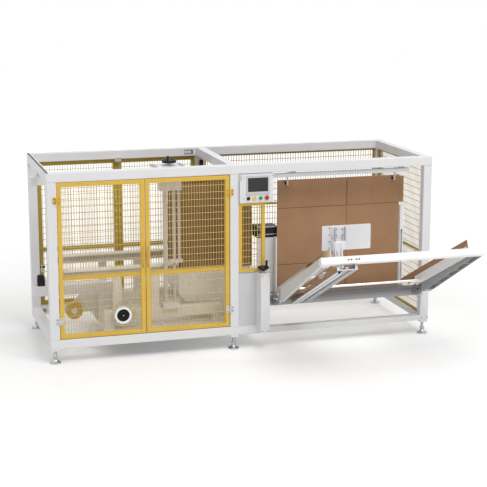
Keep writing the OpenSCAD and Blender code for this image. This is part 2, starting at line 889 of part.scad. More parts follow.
module blank_top_stops() {
    rail_h = 34;
    rail_d = 40;
    rail_end = 50;
    arm_w = 14;
    arm_t = 16;
    arm_gap = 6;
    hanger_w = 60;
    low = z_top - 52;
    drop_y = blank_y - 52;
    drop_t = 12;
    color("gainsboro") {
        box(rail_left_x, rail_right_x - rail_end, -rail_d / 2, rail_d / 2, low, low + rail_h);
        for (x = stop_places) {
            box(x - hanger_w / 2, x + hanger_w / 2, -arm_t / 2, arm_t / 2, low + rail_h - 1, z_top);
            box(x - arm_w / 2, x + arm_w / 2, rail_d / 2 - 1, drop_y + drop_t, low + arm_gap,
                low + arm_gap + arm_t);
            box(x - arm_w / 2, x + arm_w / 2, drop_y, drop_y + drop_t, blank_top - 1.5 * roller_drop,
                low + arm_gap + arm_t);
            translate([x, drop_y + drop_t - 1, blank_top - roller_drop]) rotate([-90, 0, 0])
                cylinder(h = roller_w + arm_gap, d = roller_pin);
        }
    }
}

module blank_top_rollers() {
    gap = 4;
    color("black") for (x = stop_places)
        translate([x, blank_y - roller_w - 2 * gap + 2, blank_top - roller_drop]) rotate([-90, 0, 0])
            difference() {
                cylinder(h = roller_w, d = roller_d);
                translate([0, 0, -1]) cylinder(h = roller_w + 2, d = roller_pin + 2 * fit);
            }
}

// The opened carton: four walls, closed bottom, flaps standing up over the fold
module opened_carton() {
    tall = carton_h + flap;
    color("peru") translate([carton_x, carton_y, track_z]) difference() {
        cube([carton_len, carton_w, tall]);
        translate([board, board, board])
            cube([carton_len - 2 * board, carton_w - 2 * board, tall]);
        for (x = [0, carton_len - slot_w], y = [0, carton_w - slot_w])
            translate([x - 1, y - 1, carton_h]) cube([slot_w + 2, slot_w + 2, tall]);
    }
}

// Interior

module folding_housing() {
    inset = 10;
    overhang = 15;
    tall = 308;
    left = carton_x - overhang;
    right = carton_x + carton_len - inset;
    depth = carton_w - 2 * inset;
    lip = 120;
    leg_l = 140;
    low = track_h - tall - tube;
    color("silver") translate([0, carton_y + inset + depth, bed_top]) rotate([90, 0, 0])
        linear_extrude(depth) {
            translate([left + lip, low]) square([right - left - lip, track_h - tube - low]);
            translate([left, low + lip]) square([right - left, track_h - tube - low - lip]);
            translate([left + lip, low + lip]) circle(lip);
            translate([left + leg_l, 0]) square([right - left - 2 * leg_l, low + 1]);
        }
}

module lower_beams() {
    post_w = 74;
    leg_l = 86;
    inset = 6;
    lap = 8;
    color("gainsboro") for (y = [lower_front_y, lower_back_y]) {
        beam_x(lower_start, lower_end, y, lower_z, lower_w, lower_tall, 4);
        for (x = [lower_start, lower_end - leg_l])
            box(x, x + leg_l, y, y + lower_w, bed_top, lower_z + lap);
        for (x = [lower_start + leg_l, bridge_x - post_w / 2])
            box(x, x + post_w, y + inset, y + lower_w - inset, lower_top - lap, track_z);
    }
}

module stadium(len, r) {
    translate([r, -r]) square([len - 2 * r, 2 * r]);
    for (x = [r, len - r]) translate([x, 0]) circle(r);
}

module side_belt_units() {
    rim = 12;
    slack = belt_t + run_gap;
    color("gainsboro") for (y = [belt_front_y, belt_back_y])
        translate([belt_x, y + belt_r, track_z]) {
            linear_extrude(rim) stadium(belt_len, belt_r);
            translate([slack, 0, rim]) linear_extrude(belt_h - 2 * rim)
                stadium(belt_len - 2 * slack, belt_r - slack);
            translate([0, 0, belt_h - rim]) linear_extrude(rim) stadium(belt_len, belt_r);
        }
}

module side_belts() {
    rim = 12;
    edge = run_gap;
    color("darkslategray") for (y = [belt_front_y, belt_back_y])
        translate([belt_x, y + belt_r, track_z + rim + edge])
            linear_extrude(belt_h - 2 * rim - 2 * edge) difference() {
                stadium(belt_len, belt_r);
                translate([belt_t, 0]) stadium(belt_len - 2 * belt_t, belt_r - belt_t);
            }
}

roll_x = 268;
roll_z = z0 + 170;
plate_y = middle_y + roll_w / 2 + 5;

module tape_unit() {
    plate_t = 10;
    color("lightgray") {
        translate([0, plate_y + plate_t, 0]) rotate([90, 0, 0]) linear_extrude(plate_t)
            polygon([
                [roll_x - 40, roll_z - 30], [roll_x - 40, roll_z + 40], [bed_x - 40, roll_z + 240],
                [bed_x + 230, roll_z + 240], [bed_x + 290, roll_z + 120], [bed_x + 290, bed_top],
                [bed_x, bed_top], [bed_x - 20, roll_z - 30]
            ]);
        translate([roll_x, plate_y + 1, roll_z]) rotate([90, 0, 0])
            cylinder(h = roll_w + 6, r = core_r - run_gap);
        for (p = [[bed_x + 20, roll_z + 190], [bed_x + 120, roll_z + 200], [bed_x + 210, roll_z + 150]])
            translate([p[0], plate_y + 1, p[1]]) rotate([90, 0, 0]) cylinder(h = roll_w + 6, r = 18);
        box(bed_x + 60, bed_x + 280, plate_y - roll_w - 10, plate_y + 1, bed_top, bed_top + 14);
    }
}

module tape_roll() {
    color("goldenrod") translate([roll_x, plate_y - 2, roll_z]) rotate([90, 0, 0])
        difference() {
            cylinder(h = roll_w, r = roll_r);
            translate([0, 0, -1]) cylinder(h = roll_w + 2, r = core_r);
        }
}

outfeed_y = middle_y - 50 - outfeed_w;
outfeed_z = z0 + outfeed_h;
outfeed_top = outfeed_z + outfeed_tall;
outfeed_x = -half - end_reach;
outfeed_end = bed_x + 96;
motor_w = 60;
motor_in = 65;
motor_h = 88;

module outfeed_beam() {
    leg_l = 80;
    lap = 8;
    box_l = 60;
    box_h = 58;
    side = (outfeed_w - box_l) / 2;
    color("whitesmoke") {
        beam_x(outfeed_x, outfeed_end, outfeed_y, outfeed_z, outfeed_w, outfeed_tall, 6);
        box(outfeed_end - leg_l, outfeed_end, outfeed_y, outfeed_y + outfeed_w, bed_top, outfeed_z + lap);
        box(outfeed_x + motor_w + half, outfeed_x + motor_w + half + box_l, outfeed_y + side,
            outfeed_y + outfeed_w - side, outfeed_top - 1, outfeed_top + box_h);
    }
}

module drive_motor() {
    cap_h = 12;
    mid = outfeed_y + outfeed_w / 2;
    color("dimgray") translate([outfeed_x + motor_in, mid, outfeed_top]) {
        translate([-motor_w / 2, -motor_w / 2, 0]) cube([motor_w, motor_w, motor_h]);
        translate([0, 0, motor_h - 1]) cylinder(h = cap_h, d = motor_w * 0.8);
    }
}

module upper_guide_beam() {
    hanger_w = 60;
    lap = 8;
    y = middle_y - 95;
    side = (upper_beam_w - hanger_w) / 2;
    color("whitesmoke") {
        beam_x(-half - end_reach, mid_x + hanger_w / 2, y, guide_beam_z, upper_beam_w, upper_beam_w, 5);
        for (x = [0, mid_x])
            box(x - hanger_w / 2, x + hanger_w / 2, y + side, y + side + hanger_w,
                guide_beam_z + upper_beam_w - lap, z_top);
    }
}

// A plate on the front beam's back, with a gusset at each side
module lift_bridge() {
    wall_h = 56;
    color("gainsboro") {
        box(bridge_x, bridge_x + bridge_w, half, half + bridge_d, bridge_z, bridge_z + bridge_t);
        for (x = [bridge_x, bridge_x + bridge_w - bridge_wall])
            translate([x, 0, 0]) rotate([90, 0, 90]) linear_extrude(bridge_wall)
                polygon([
                    [half, bridge_z], [half, bridge_z + wall_h],
                    [half + bridge_d, bridge_z + bridge_t], [half + bridge_d, bridge_z]
                ]);
    }
}

// Lift rods: place along the machine, diameter and lower end
foot_plate_h = 48;
rod_low = lower_top + foot_plate_h;
bracket_z = z0 + 682;
bracket_h = 26;
rods = [[lift_x - 44, 40, rod_low], [lift_x + 39, 22, rod_low], [lift_x + 84, 24, bracket_z]];

// The block under the bridge, a small bracket and the foot plate on the lower beam
module lift_block() {
    block_l = 200;
    block_d = 100;
    block_h = 78;
    block_z = z0 + 1318;
    foot_l = 150;
    small_l = 110;
    small_d = 60;
    color("whitesmoke") {
        difference() {
            box(lift_x - block_l / 2, lift_x + block_l / 2, lift_y - block_d / 2, lift_y + block_d / 2,
                block_z, block_z + block_h);
            for (r = rods)
                translate([r[0], lift_y, block_z - 1]) cylinder(h = block_h + 2, d = r[1] + 2 * fit);
        }
        difference() {
            box(lift_x, lift_x + small_l, lift_y - small_d / 2, lift_y + small_d / 2,
                bracket_z - bracket_h, bracket_z);
            translate([rods[1][0], lift_y, bracket_z - bracket_h - 1])
                cylinder(h = bracket_h + 2, d = rods[1][1] + 2 * fit);
        }
        box(lift_x - foot_l / 2, lift_x + foot_l / 2, lift_y - block_d / 2, lift_y + block_d / 2,
            lower_top, rod_low);
    }
}

module lift_rods() {
    color("silver") for (r = rods)
        translate([r[0], lift_y, r[2]]) cylinder(h = bridge_z - r[2], d = r[1]);
}

// The plate beside the blank and the dark head over it
suction_end = blank_x + 18;
suction_top = shelf_z + shelf_t + 516;
suction_t = 10;

module suction_plate() {
    color("whitesmoke") box(suction_x, suction_end, shelf_end - suction_t, shelf_end, shelf_z + shelf_t,
        suction_top);
}

module suction_head() {
    head_d = 150;
    head_h = 103;
    color("black") box(suction_x, suction_end, shelf_end - suction_t, shelf_end - suction_t + head_d,
        suction_top, suction_top + head_h);
}

// Hand wheels

module spindle(disc_d) {
    cylinder(h = collar_h, d = 4 * spindle_r);
    cylinder(h = collar_h + hub_h + 4, r = spindle_r);
    if (disc_d > 0) translate([0, 0, collar_h / 4]) cylinder(h = collar_h / 2, d = disc_d);
}

module wheel_spindles() {
    color("silver") {
        translate(column_wheel_p) spindle(0);
        translate(lift_wheel_p) spindle(0);
        translate(dial_p) rotate([90, 0, 0]) {
            cylinder(h = dial_post, d = 5 * spindle_r);
            translate([0, 0, dial_post - 1]) spindle(dial_d);
        }
    }
}

// A wheel with three spokes or a full web, and an upright turning handle
module hand_wheel(d, full = false, grip_turn = 0) {
    rim = 16;
    rim_z = 13;
    web = 10;
    spoke = 14;
    grip_h = 62;
    difference() {
        union() {
            cylinder(h = hub_h, d = 5 * spindle_r);
            if (full) translate([0, 0, rim_z - web / 2]) cylinder(h = web, d = d - rim);
            else for (a = [0, 120, 240]) rotate([0, 0, a])
                translate([0, -spoke / 2, rim_z - web / 2]) cube([d / 2 - rim / 2, spoke, web]);
            translate([0, 0, rim_z]) rotate_extrude() translate([d / 2 - rim / 2, 0]) circle(d = rim);
            rotate([0, 0, grip_turn]) translate([d / 2 - rim / 2, 0, rim_z])
                cylinder(h = grip_h, d1 = rim - 3, d2 = rim + 4);
        }
        translate([0, 0, -1]) cylinder(h = hub_h + 2, r = spindle_r + fit);
    }
}

module column_wheel() {
    color("black") translate(column_wheel_p + [0, 0, collar_h + run_gap]) hand_wheel(column_wheel_d);
}

module lift_wheel() {
    color("black") translate(lift_wheel_p + [0, 0, collar_h + run_gap])
        hand_wheel(lift_wheel_d, false, 110);
}

module dial_wheel() {
    color("black") translate(dial_p) rotate([90, 0, 0]) translate([0, 0, dial_post - 1 + collar_h + run_gap])
        hand_wheel(dial_wheel_d, true);
}

base_long_beams();
base_cross_beams();
posts();
top_long_beams();
top_cross_beams();
leveling_feet();
bed_plate();
rear_guard_frame();
rear_mesh_left();
rear_mesh_middle();
rear_mesh_right();
end_guard_frame();
end_mesh_front();
end_mesh_back();
control_guard();
door_hinges();
control_box();
touch_screen();
control_buttons();
lower_panel();
adjuster_column();
magazine_crossbeam();
width_shaft();
magazine_side_rails();
rail_brackets();
magazine_front_bar();
guide_boards();
center_guide();
guide_tubes();
feed_chain();
carton_blank();
blank_side_guides();
blank_top_stops();
blank_top_rollers();
opened_carton();
folding_housing();
lower_beams();
side_belt_units();
side_belts();
tape_unit();
tape_roll();
outfeed_beam();
drive_motor();
upper_guide_beam();
lift_bridge();
lift_block();
lift_rods();
wheel_spindles();
suction_plate();
suction_head();
front_left_door();
front_right_door();
rear_left_door();
rear_right_door();
column_wheel();
lift_wheel();
dial_wheel();
pusher_plate();
pusher_arm();
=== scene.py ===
"""Looks of the case erector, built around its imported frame. Lengths are in metres."""

import bmesh
import bpy
import numpy as np
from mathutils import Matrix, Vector


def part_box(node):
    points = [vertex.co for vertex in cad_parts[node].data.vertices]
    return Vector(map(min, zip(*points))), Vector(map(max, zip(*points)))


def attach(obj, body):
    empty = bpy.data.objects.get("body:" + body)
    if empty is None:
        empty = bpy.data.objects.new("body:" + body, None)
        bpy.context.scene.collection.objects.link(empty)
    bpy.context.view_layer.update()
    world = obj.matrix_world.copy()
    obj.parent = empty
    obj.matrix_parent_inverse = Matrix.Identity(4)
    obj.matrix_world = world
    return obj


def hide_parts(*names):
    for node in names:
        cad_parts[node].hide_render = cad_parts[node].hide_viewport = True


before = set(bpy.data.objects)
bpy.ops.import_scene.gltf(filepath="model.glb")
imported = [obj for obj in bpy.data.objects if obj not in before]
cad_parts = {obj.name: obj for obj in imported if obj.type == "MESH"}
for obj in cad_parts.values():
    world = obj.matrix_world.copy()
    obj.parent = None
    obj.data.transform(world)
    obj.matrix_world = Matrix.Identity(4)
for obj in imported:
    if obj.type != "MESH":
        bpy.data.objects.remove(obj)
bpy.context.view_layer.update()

MM = 0.001
FRONT = (0, -1, 0)
BACK = (0, 1, 0)
LEFT = (-1, 0, 0)
RIGHT = (1, 0, 0)
UP = (0, 0, 1)

# Sizes of the machine that the looks need
TUBE = 80 * MM
HALF = TUBE / 2
FRAME_LEN = 3470 * MM
FRAME_DEPTH = 1190 * MM
MID_X = 1620 * MM
Z_FRAME = 135 * MM
Z_BASE = Z_FRAME + TUBE
Z_TOP = Z_FRAME + 1470 * MM
LOW_BEAM = 50 * MM
DOOR_GAP = 6 * MM
STILE = 38 * MM
STILE_DEEP = 30 * MM
MID_RAIL = 624 * MM - TUBE - DOOR_GAP
DOOR_PITCH = 24.6 * MM
GUARD_PITCH = 26.5 * MM
MESH_PITCH_UP = 59 * MM
WIRE_R = 2.3 * MM
FAR_WIRE_R = 3.0 * MM
MESH_SET = 4 * MM
GUARD_BAR = 20 * MM
BAY_LEFT = HALF
BAY_MID = MID_X - HALF
DOOR_W = (BAY_MID - BAY_LEFT - 3 * DOOR_GAP) / 2
DOOR_H = Z_TOP - Z_BASE - 2 * DOOR_GAP
HANDLE_Z = 772 * MM - TUBE - DOOR_GAP
HANDLE_LEN = 145 * MM
HANDLE_OUT = 42 * MM
HANDLE_D = 14 * MM
PIN_OUT = 10 * MM
HINGE_H = 60 * MM
LEAF_W = 28 * MM
LEAF_T = 4 * MM
KNUCKLE_R = 8 * MM
LEAF_SET = 4 * MM
LEAF_SCREWS = (0.22, 0.78)
HINGE_ZS = (246 * MM - TUBE - DOOR_GAP, 1310 * MM - TUBE - DOOR_GAP)
RAMP_ANGLE = np.radians(25.4)
RAMP_LOW = np.array([0.0, -171 * MM, Z_FRAME + 422 * MM])
RAMP_LEN = 1220 * MM


# Shapes worked out as arrays

def rounded_rect(w, h, r, steps=3):
    """Closed outline of a w by h rectangle from (0, 0): a quarter circle of radius r at each corner."""
    angle = np.linspace(0, np.pi / 2, steps + 1)
    arcs = []
    for k, (cx, cy) in enumerate(((w - r, h - r), (r, h - r), (r, r), (w - r, r))):
        arcs.append(np.stack([cx + r * np.cos(angle + k * np.pi / 2),
                              cy + r * np.sin(angle + k * np.pi / 2)], axis=1))
    return np.concatenate(arcs)


def ring_faces(rings, sides, closed_rings=False, caps=True):
    """Quads between neighbouring rings of a grid of rings by sides, with flat caps on open ends."""
    last = rings if closed_rings else rings - 1
    i, j = np.meshgrid(np.arange(last), np.arange(sides), indexing="ij")
    n = (i + 1) % rings
    k = (j + 1) % sides
    quads = np.stack([i * sides + j, n * sides + j, n * sides + k, i * sides + k], axis=-1)
    faces = quads.reshape(-1, 4).tolist()
    if caps and not closed_rings:
        faces.append(list(range(sides)))
        faces.append(list(range((rings - 1) * sides, rings * sides)))
    return faces


def join(parts):
    """One vertex array and face list from several (vertices, faces) pairs."""
    verts = []
    faces = []
    base = 0
    for v, f in parts:
        verts.append(np.asarray(v, dtype=float))
        faces.extend([[i + base for i in face] for face in f])
        base += len(v)
    return np.concatenate(verts), faces


def frame_ring(w, h, outline):
    """A mitred frame: the outline's first axis runs inwards from the edge, its second is the depth."""
    signs = np.array([(0, 0), (1, 0), (1, 1), (0, 1)], dtype=float)
    inset = outline[:, 0]
    x = signs[:, :1] * w + (1 - 2 * signs[:, :1]) * inset
    z = signs[:, 1:] * h + (1 - 2 * signs[:, 1:]) * inset
    y = np.broadcast_to(outline[:, 1], x.shape)
    verts = np.stack([x, y, z], axis=-1).reshape(-1, 3)
    return verts, ring_faces(4, len(outline), closed_rings=True)


def wires(starts, ends, radius, sides=6):
    """Straight round wires: a circle of sides points carried from each start to its end."""
    starts = np.asarray(starts, dtype=float)
    ends = np.asarray(ends, dtype=float)
    along = ends - starts
    along /= np.linalg.norm(along, axis=1, keepdims=True)
    helper = np.where(np.abs(along[:, 2:3]) > 0.9, [[1.0, 0, 0]], [[0, 0, 1.0]])
    side = np.cross(along, helper)
    side /= np.linalg.norm(side, axis=1, keepdims=True)
    up = np.cross(along, side)
    angle = np.arange(sides) * 2 * np.pi / sides
    across = np.cos(angle)[None, :, None] * side[:, None]
    ring = radius * (across + np.sin(angle)[None, :, None] * up[:, None])
    verts = np.stack([starts[:, None] + ring, ends[:, None] + ring], axis=1)
    one = ring_faces(2, sides)
    faces = []
    for n in range(len(starts)):
        faces.extend([[i + n * 2 * sides for i in face] for face in one])
    return verts.reshape(-1, 3), faces


def tube(path, radius, sides=10):
    """A round bar: a circle carried along a path, turned at each point to face the path's direction."""
    path = np.asarray(path, dtype=float)
    tangent = np.gradient(path, axis=0)
    tangent /= np.linalg.norm(tangent, axis=1, keepdims=True)
    normal = np.cross(tangent[0], [0.3, 0.5, 0.8])
    rings = []
    angle = np.arange(sides) * 2 * np.pi / sides
    for point, t in zip(path, tangent):
        normal = normal - t * np.dot(normal, t)
        normal /= np.linalg.norm(normal)
        other = np.cross(t, normal)
        rings.append(point + radius * (np.cos(angle)[:, None] * normal + np.sin(angle)[:, None] * other))
    return np.concatenate(rings), ring_faces(len(path), sides)


def basis(direction):
    """Three unit vectors, the last along the direction."""
    w = np.asarray(direction, dtype=float)
    w = w / np.linalg.norm(w)
    helper = np.array([1.0, 0, 0]) if abs(w[0]) < 0.9 else np.array([0, 1.0, 0])
    u = np.cross(helper, w)
    u /= np.linalg.norm(u)
    return np.stack([u, np.cross(w, u), w])


def lathe(profile, centre, direction, sides=24):
    """A turned shape: the profile's (radius, height) points go round an axis from a centre."""
    profile = np.asarray(profile, dtype=float)
    angle = np.arange(sides) * 2 * np.pi / sides
    r = np.maximum(profile[:, 0], 1e-6)
    x = r[:, None] * np.cos(angle)
    y = r[:, None] * np.sin(angle)
    z = np.broadcast_to(profile[:, 1:2], x.shape)
    local = np.stack([x, y, z], axis=-1).reshape(-1, 3)
    return np.asarray(centre) + local @ basis(direction), ring_faces(len(profile), sides)


def turned_ring(profile, centre, direction, sides):
    """A turned shape with a hole: a closed profile of (radius, height) points goes round an axis."""
    verts, _ = lathe(profile, centre, direction, sides)
    return verts, ring_faces(len(profile), sides, closed_rings=True)


def chamfer_box(low, high, bevel):
    """A box with its edges cut at 45 degrees: each corner becomes three points, one on each face."""
    low = np.asarray(low, dtype=float)
    high = np.asarray(high, dtype=float)
    half = (high - low) / 2
    bits = np.array([[(c >> 2) & 1, (c >> 1) & 1, c & 1] for c in range(8)])
    signs = (2 * bits - 1).astype(float)
    inset = half - bevel * (1 - np.eye(3))
    verts = ((low + high) / 2 + signs[:, None, :] * inset[None, :, :]).reshape(-1, 3)
    step = (4, 2, 1)
    faces = []
    for axis in range(3):
        a, b = [k for k in range(3) if k != axis]
        for s in (0, 1):
            ring = [s * step[axis] + p * step[a] + q * step[b] for p, q in ((0, 0), (1, 0), (1, 1), (0, 1))]
            faces.append([3 * c + axis for c in ring])
        for p in (0, 1):
            for q in (0, 1):
                near = p * step[a] + q * step[b]
                far = near + step[axis]
                faces.append([3 * near + a, 3 * far + a, 3 * far + b, 3 * near + b])
    faces.extend([[3 * c, 3 * c + 1, 3 * c + 2] for c in range(8)])
    return verts, faces


def in_mm(points):
    """Points given in millimetres, in metres."""
    return np.array(points, dtype=float) * MM


def box_from(spot, low, high, bevel):
    """A box with cut edges: its two corners and its bevel are in millimetres, the corners from a spot."""
    return chamfer_box(spot + in_mm(low), spot + in_mm(high), bevel * MM)


def screws(points, direction, radius):
    """Socket head screws: one turned head with a hollow in its top, repeated at each point."""
    r = radius
    profile = [(0, 0), (r, 0), (r, 0.7 * r), (0.85 * r, 0.9 * r), (0.5 * r, 0.9 * r), (0.45 * r, 0.4 * r),
               (0, 0.4 * r)]
    return join([lathe(profile, p, direction, 12) for p in points])


def on_ramp(verts):
    """Turns points from the ramp's own frame to the machine's: -Y up the ramp, Z square to it."""
    c = np.cos(RAMP_ANGLE)
    s = np.sin(RAMP_ANGLE)
    v = np.asarray(verts, dtype=float)
    y = v[:, 1] * c + v[:, 2] * s
    z = -v[:, 1] * s + v[:, 2] * c
    return RAMP_LOW + np.stack([v[:, 0], y, z], axis=1)


def ramped(shapes):
    """Several shapes from the ramp's own frame, joined and put in place on the machine."""
    verts, faces = join(shapes)
    return on_ramp(verts), faces


def piece(name, shape, material, body="frame", replaced=(), sharp=35):
    """A mesh object from (vertices, faces), outward faces, smooth under the sharp angle, on a body."""
    verts, faces = shape
    mesh = bpy.data.meshes.new(name)
    mesh.from_pydata(np.asarray(verts).tolist(), [], faces)
    work = bmesh.new()
    work.from_mesh(mesh)
    bmesh.ops.remove_doubles(work, verts=work.verts, dist=2e-6)
    bmesh.ops.recalc_face_normals(work, faces=work.faces)
    work.to_mesh(mesh)
    work.free()
    mesh.polygons.foreach_set("use_smooth", np.ones(len(mesh.polygons), dtype=bool))
    mesh.set_sharp_from_angle(angle=np.radians(sharp))
    mesh.materials.append(material)
    obj = bpy.data.objects.new(name, mesh)
    bpy.context.scene.collection.objects.link(obj)
    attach(obj, body)
    if replaced:
        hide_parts(*replaced)


# Finishes

def shader(name):
    """A new material with its node tree and main shader."""
    mat = bpy.data.materials.new(name)
    mat.use_nodes = True
    return mat, mat.node_tree, mat.node_tree.nodes["Principled BSDF"]


def noise(tree, scale, detail=4.0, stretch=(1, 1, 1)):
    """Noise on the object's own coordinates, stretched by a mapping."""
    coord = tree.nodes.new("ShaderNodeTexCoord")
    mapping = tree.nodes.new("ShaderNodeMapping")
    mapping.inputs["Scale"].default_value = stretch
    tex = tree.nodes.new("ShaderNodeTexNoise")
    tex.inputs["Scale"].default_value = scale
    tex.inputs["Detail"].default_value = detail
    tree.links.new(coord.outputs["Object"], mapping.inputs["Vector"])
    tree.links.new(mapping.outputs["Vector"], tex.inputs["Vector"])
    return tex.outputs["Fac"]


def ranged(tree, value, start, end, low, high):
    """A value between start and end taken evenly to the range from low to high."""
    node = tree.nodes.new("ShaderNodeMapRange")
    for socket, number in zip(("From Min", "From Max", "To Min", "To Max"), (start, end, low, high)):
        node.inputs[socket].default_value = number
    tree.links.new(value, node.inputs["Value"])
    return node.outputs["Result"]


def spread(tree, value, low, high):
    """Noise, which lies mostly between 0.3 and 0.7, taken to the range from low to high."""
    return ranged(tree, value, 0.3, 0.7, low, high)


def mixed(tree, value, first, second):
    """A colour between two, by a value."""
    node = tree.nodes.new("ShaderNodeMix")
    node.data_type = "RGBA"
    node.inputs["A"].default_value = (*first, 1)
    node.inputs["B"].default_value = (*second, 1)
    tree.links.new(value, node.inputs["Factor"])
    return node.outputs["Result"]


def bump(tree, main, height, strength, distance):
    """Fine relief on the main shader."""
    node = tree.nodes.new("ShaderNodeBump")
    node.inputs["Strength"].default_value = strength
    node.inputs["Distance"].default_value = distance
    tree.links.new(height, node.inputs["Height"])
    tree.links.new(node.outputs["Normal"], main.inputs["Normal"])


def scaled(colour, k):
    """A colour made darker or paler."""
    return tuple(min(1.0, c * k) for c in colour)


def coated(name, colour, rough=0.42, vary=0.04, grain=900.0, relief=0.12, shine=0.5):
    """Powder coat or paint: faint cloudy tone, uneven gloss and an orange-peel skin."""
    mat, tree, main = shader(name)
    cloud = spread(tree, noise(tree, 5.0), 0, 1)
    tone = mixed(tree, cloud, scaled(colour, 1 - vary), scaled(colour, 1 + vary))
    tree.links.new(tone, main.inputs["Base Color"])
    gloss = spread(tree, noise(tree, 30.0), rough - 0.06, rough + 0.06)
    tree.links.new(gloss, main.inputs["Roughness"])
    main.inputs["Specular IOR Level"].default_value = shine
    bump(tree, main, noise(tree, grain, 2.0), relief, 0.0006)
    return mat


def brushed(name, colour, rough=0.3, stretch=(2, 220, 220)):
    """Brushed metal: fine lines along one way that shade the tone and the gloss."""
    mat, tree, main = shader(name)
    line = noise(tree, 8.0, 6.0, stretch)
    tone = mixed(tree, spread(tree, line, 0, 1), scaled(colour, 0.88), scaled(colour, 1.1))
    tree.links.new(tone, main.inputs["Base Color"])
    tree.links.new(spread(tree, line, rough - 0.08, rough + 0.1), main.inputs["Roughness"])
    main.inputs["Metallic"].default_value = 1.0
    bump(tree, main, line, 0.08, 0.0004)
    return mat


def board_finish(name, colour):
    """Corrugated board: cloudy brown, short fibres and faint upright flute lines."""
    mat, tree, main = shader(name)
    cloud = spread(tree, noise(tree, 6.0, 3.0), 0, 1)
    base = mixed(tree, cloud, scaled(colour, 0.93), scaled(colour, 1.06))
    fibre = spread(tree, noise(tree, 60.0, 6.0, (4, 4, 1)), 0, 1)
    mix = tree.nodes.new("ShaderNodeMix")
    mix.data_type = "RGBA"
    mix.blend_type = "MULTIPLY"
    mix.inputs["Factor"].default_value = 0.35
    tree.links.new(base, mix.inputs["A"])
    tree.links.new(mixed(tree, fibre, (0.82, 0.8, 0.78), (1, 1, 1)), mix.inputs["B"])
    tree.links.new(mix.outputs["Result"], main.inputs["Base Color"])
    coord = tree.nodes.new("ShaderNodeTexCoord")
    wave = tree.nodes.new("ShaderNodeTexWave")
    wave.inputs["Scale"].default_value = 45.0
    wave.inputs["Distortion"].default_value = 0.4
    tree.links.new(coord.outputs["Object"], wave.inputs["Vector"])
    bump(tree, main, wave.outputs["Fac"], 0.08, 0.0005)
    main.inputs["Roughness"].default_value = 0.82
    return mat


def place_along(tree, axis):
    """How far a point lies along one of the machine's axes."""
    coord = tree.nodes.new("ShaderNodeTexCoord")
    axes = tree.nodes.new("ShaderNodeSeparateXYZ")
    tree.links.new(coord.outputs["Object"], axes.inputs["Vector"])
    return axes.outputs[axis]


def shaded_along(name, axis, start, end, first, last):
    """Enamel with painted shade: its tone changes evenly along one of the machine's axes from a first tone to
    a last one.
    """
    mat, tree, main = shader(name)
    along = ranged(tree, place_along(tree, axis), start, end, 0, 1)
    tree.links.new(mixed(tree, along, first, last), main.inputs["Base Color"])
    tree.links.new(spread(tree, noise(tree, 30.0), 0.36, 0.5), main.inputs["Roughness"])
    bump(tree, main, noise(tree, 900.0, 2.0), 0.12, 0.0006)
    return mat


def guide_finish(name, side_x, steel, painted_reflection):
    """Brushed steel along the guide, and on the outer side, up to that side's X, a smoother brown tone: a
    painted reflection of the carton board.
    """
    mat, tree, main = shader(name)
    side = tree.nodes.new("ShaderNodeMath")
    side.operation = "LESS_THAN"
    side.inputs[1].default_value = side_x
    tree.links.new(place_along(tree, "X"), side.inputs[0])
    tree.links.new(mixed(tree, side.outputs[0], steel, painted_reflection), main.inputs["Base Color"])
    line = noise(tree, 8.0, 6.0, (220, 2, 220))
    rough = tree.nodes.new("ShaderNodeMath")
    rough.operation = "MULTIPLY_ADD"
    rough.inputs[1].default_value = -0.26
    tree.links.new(side.outputs[0], rough.inputs[0])
    tree.links.new(spread(tree, line, 0.32, 0.4), rough.inputs[2])
    tree.links.new(rough.outputs[0], main.inputs["Roughness"])
    main.inputs["Metallic"].default_value = 1.0
    bump(tree, main, line, 0.02, 0.0003)
    return mat


WHITE = coated("white_powder_coat", (0.755, 0.755, 0.765), 0.4, 0.015)
PANEL = coated("pale_grey_panel", (0.60, 0.60, 0.605), 0.42, 0.02)
# Painted light: a paler copy of the white coat, for white parts that catch more light and for the side
# guides, lifted out of their shade
LIT_WHITE = coated("lit_white_coat", (0.86, 0.86, 0.86), 0.35, 0.01)
YELLOW = coated("yellow_powder_coat", (0.70, 0.45, 0.056), 0.4, 0.05)
WIRE = coated("pale_yellow_wire", (0.66, 0.46, 0.125), 0.42, 0.05)
# Painted shade: darker copies of the wire yellow and the yellow coat, for the rear and end guards and the
# rear doors, which stand in shade
SHADED_WIRE = coated("shaded_yellow_wire", (0.50, 0.35, 0.035), 0.45, 0.05)
SHADED_YELLOW = coated("shaded_yellow_coat", (0.43, 0.30, 0.036), 0.45, 0.06)
INNER = coated("warm_grey_enamel", (0.79, 0.78, 0.745), 0.45, 0.03)
CASTING = coated("arm_casting", (0.52, 0.52, 0.53), 0.4, 0.04, 500.0, 0.2)
DARK = coated("dark_grey_enamel", (0.17, 0.17, 0.172), 0.42, 0.05)
FOOT = brushed("foot_steel", (0.50, 0.50, 0.51), 0.28, (3, 200, 200))
STEEL = brushed("plain_steel", (0.60, 0.60, 0.61), 0.34)
POLISHED = brushed("polished_sheet", (0.78, 0.78, 0.79), 0.12, (1.5, 160, 160))
CHROME = brushed("hard_chrome", (0.82, 0.82, 0.83), 0.1, (3, 200, 200))
BLACK = coated("black_moulding", (0.014, 0.014, 0.015), 0.42, 0.2, 500.0, 0.25, shine=0.25)
RUBBER = coated("belt_rubber", (0.36, 0.35, 0.33), 0.75, 0.2, 350.0, 0.5)
CARD = board_finish("corrugated_board", (0.39, 0.217, 0.113))
# Painted shade: a darker copy of the board for the opened carton inside the machine
CARD_SHADED = board_finish("shaded_board", (0.25, 0.141, 0.066))
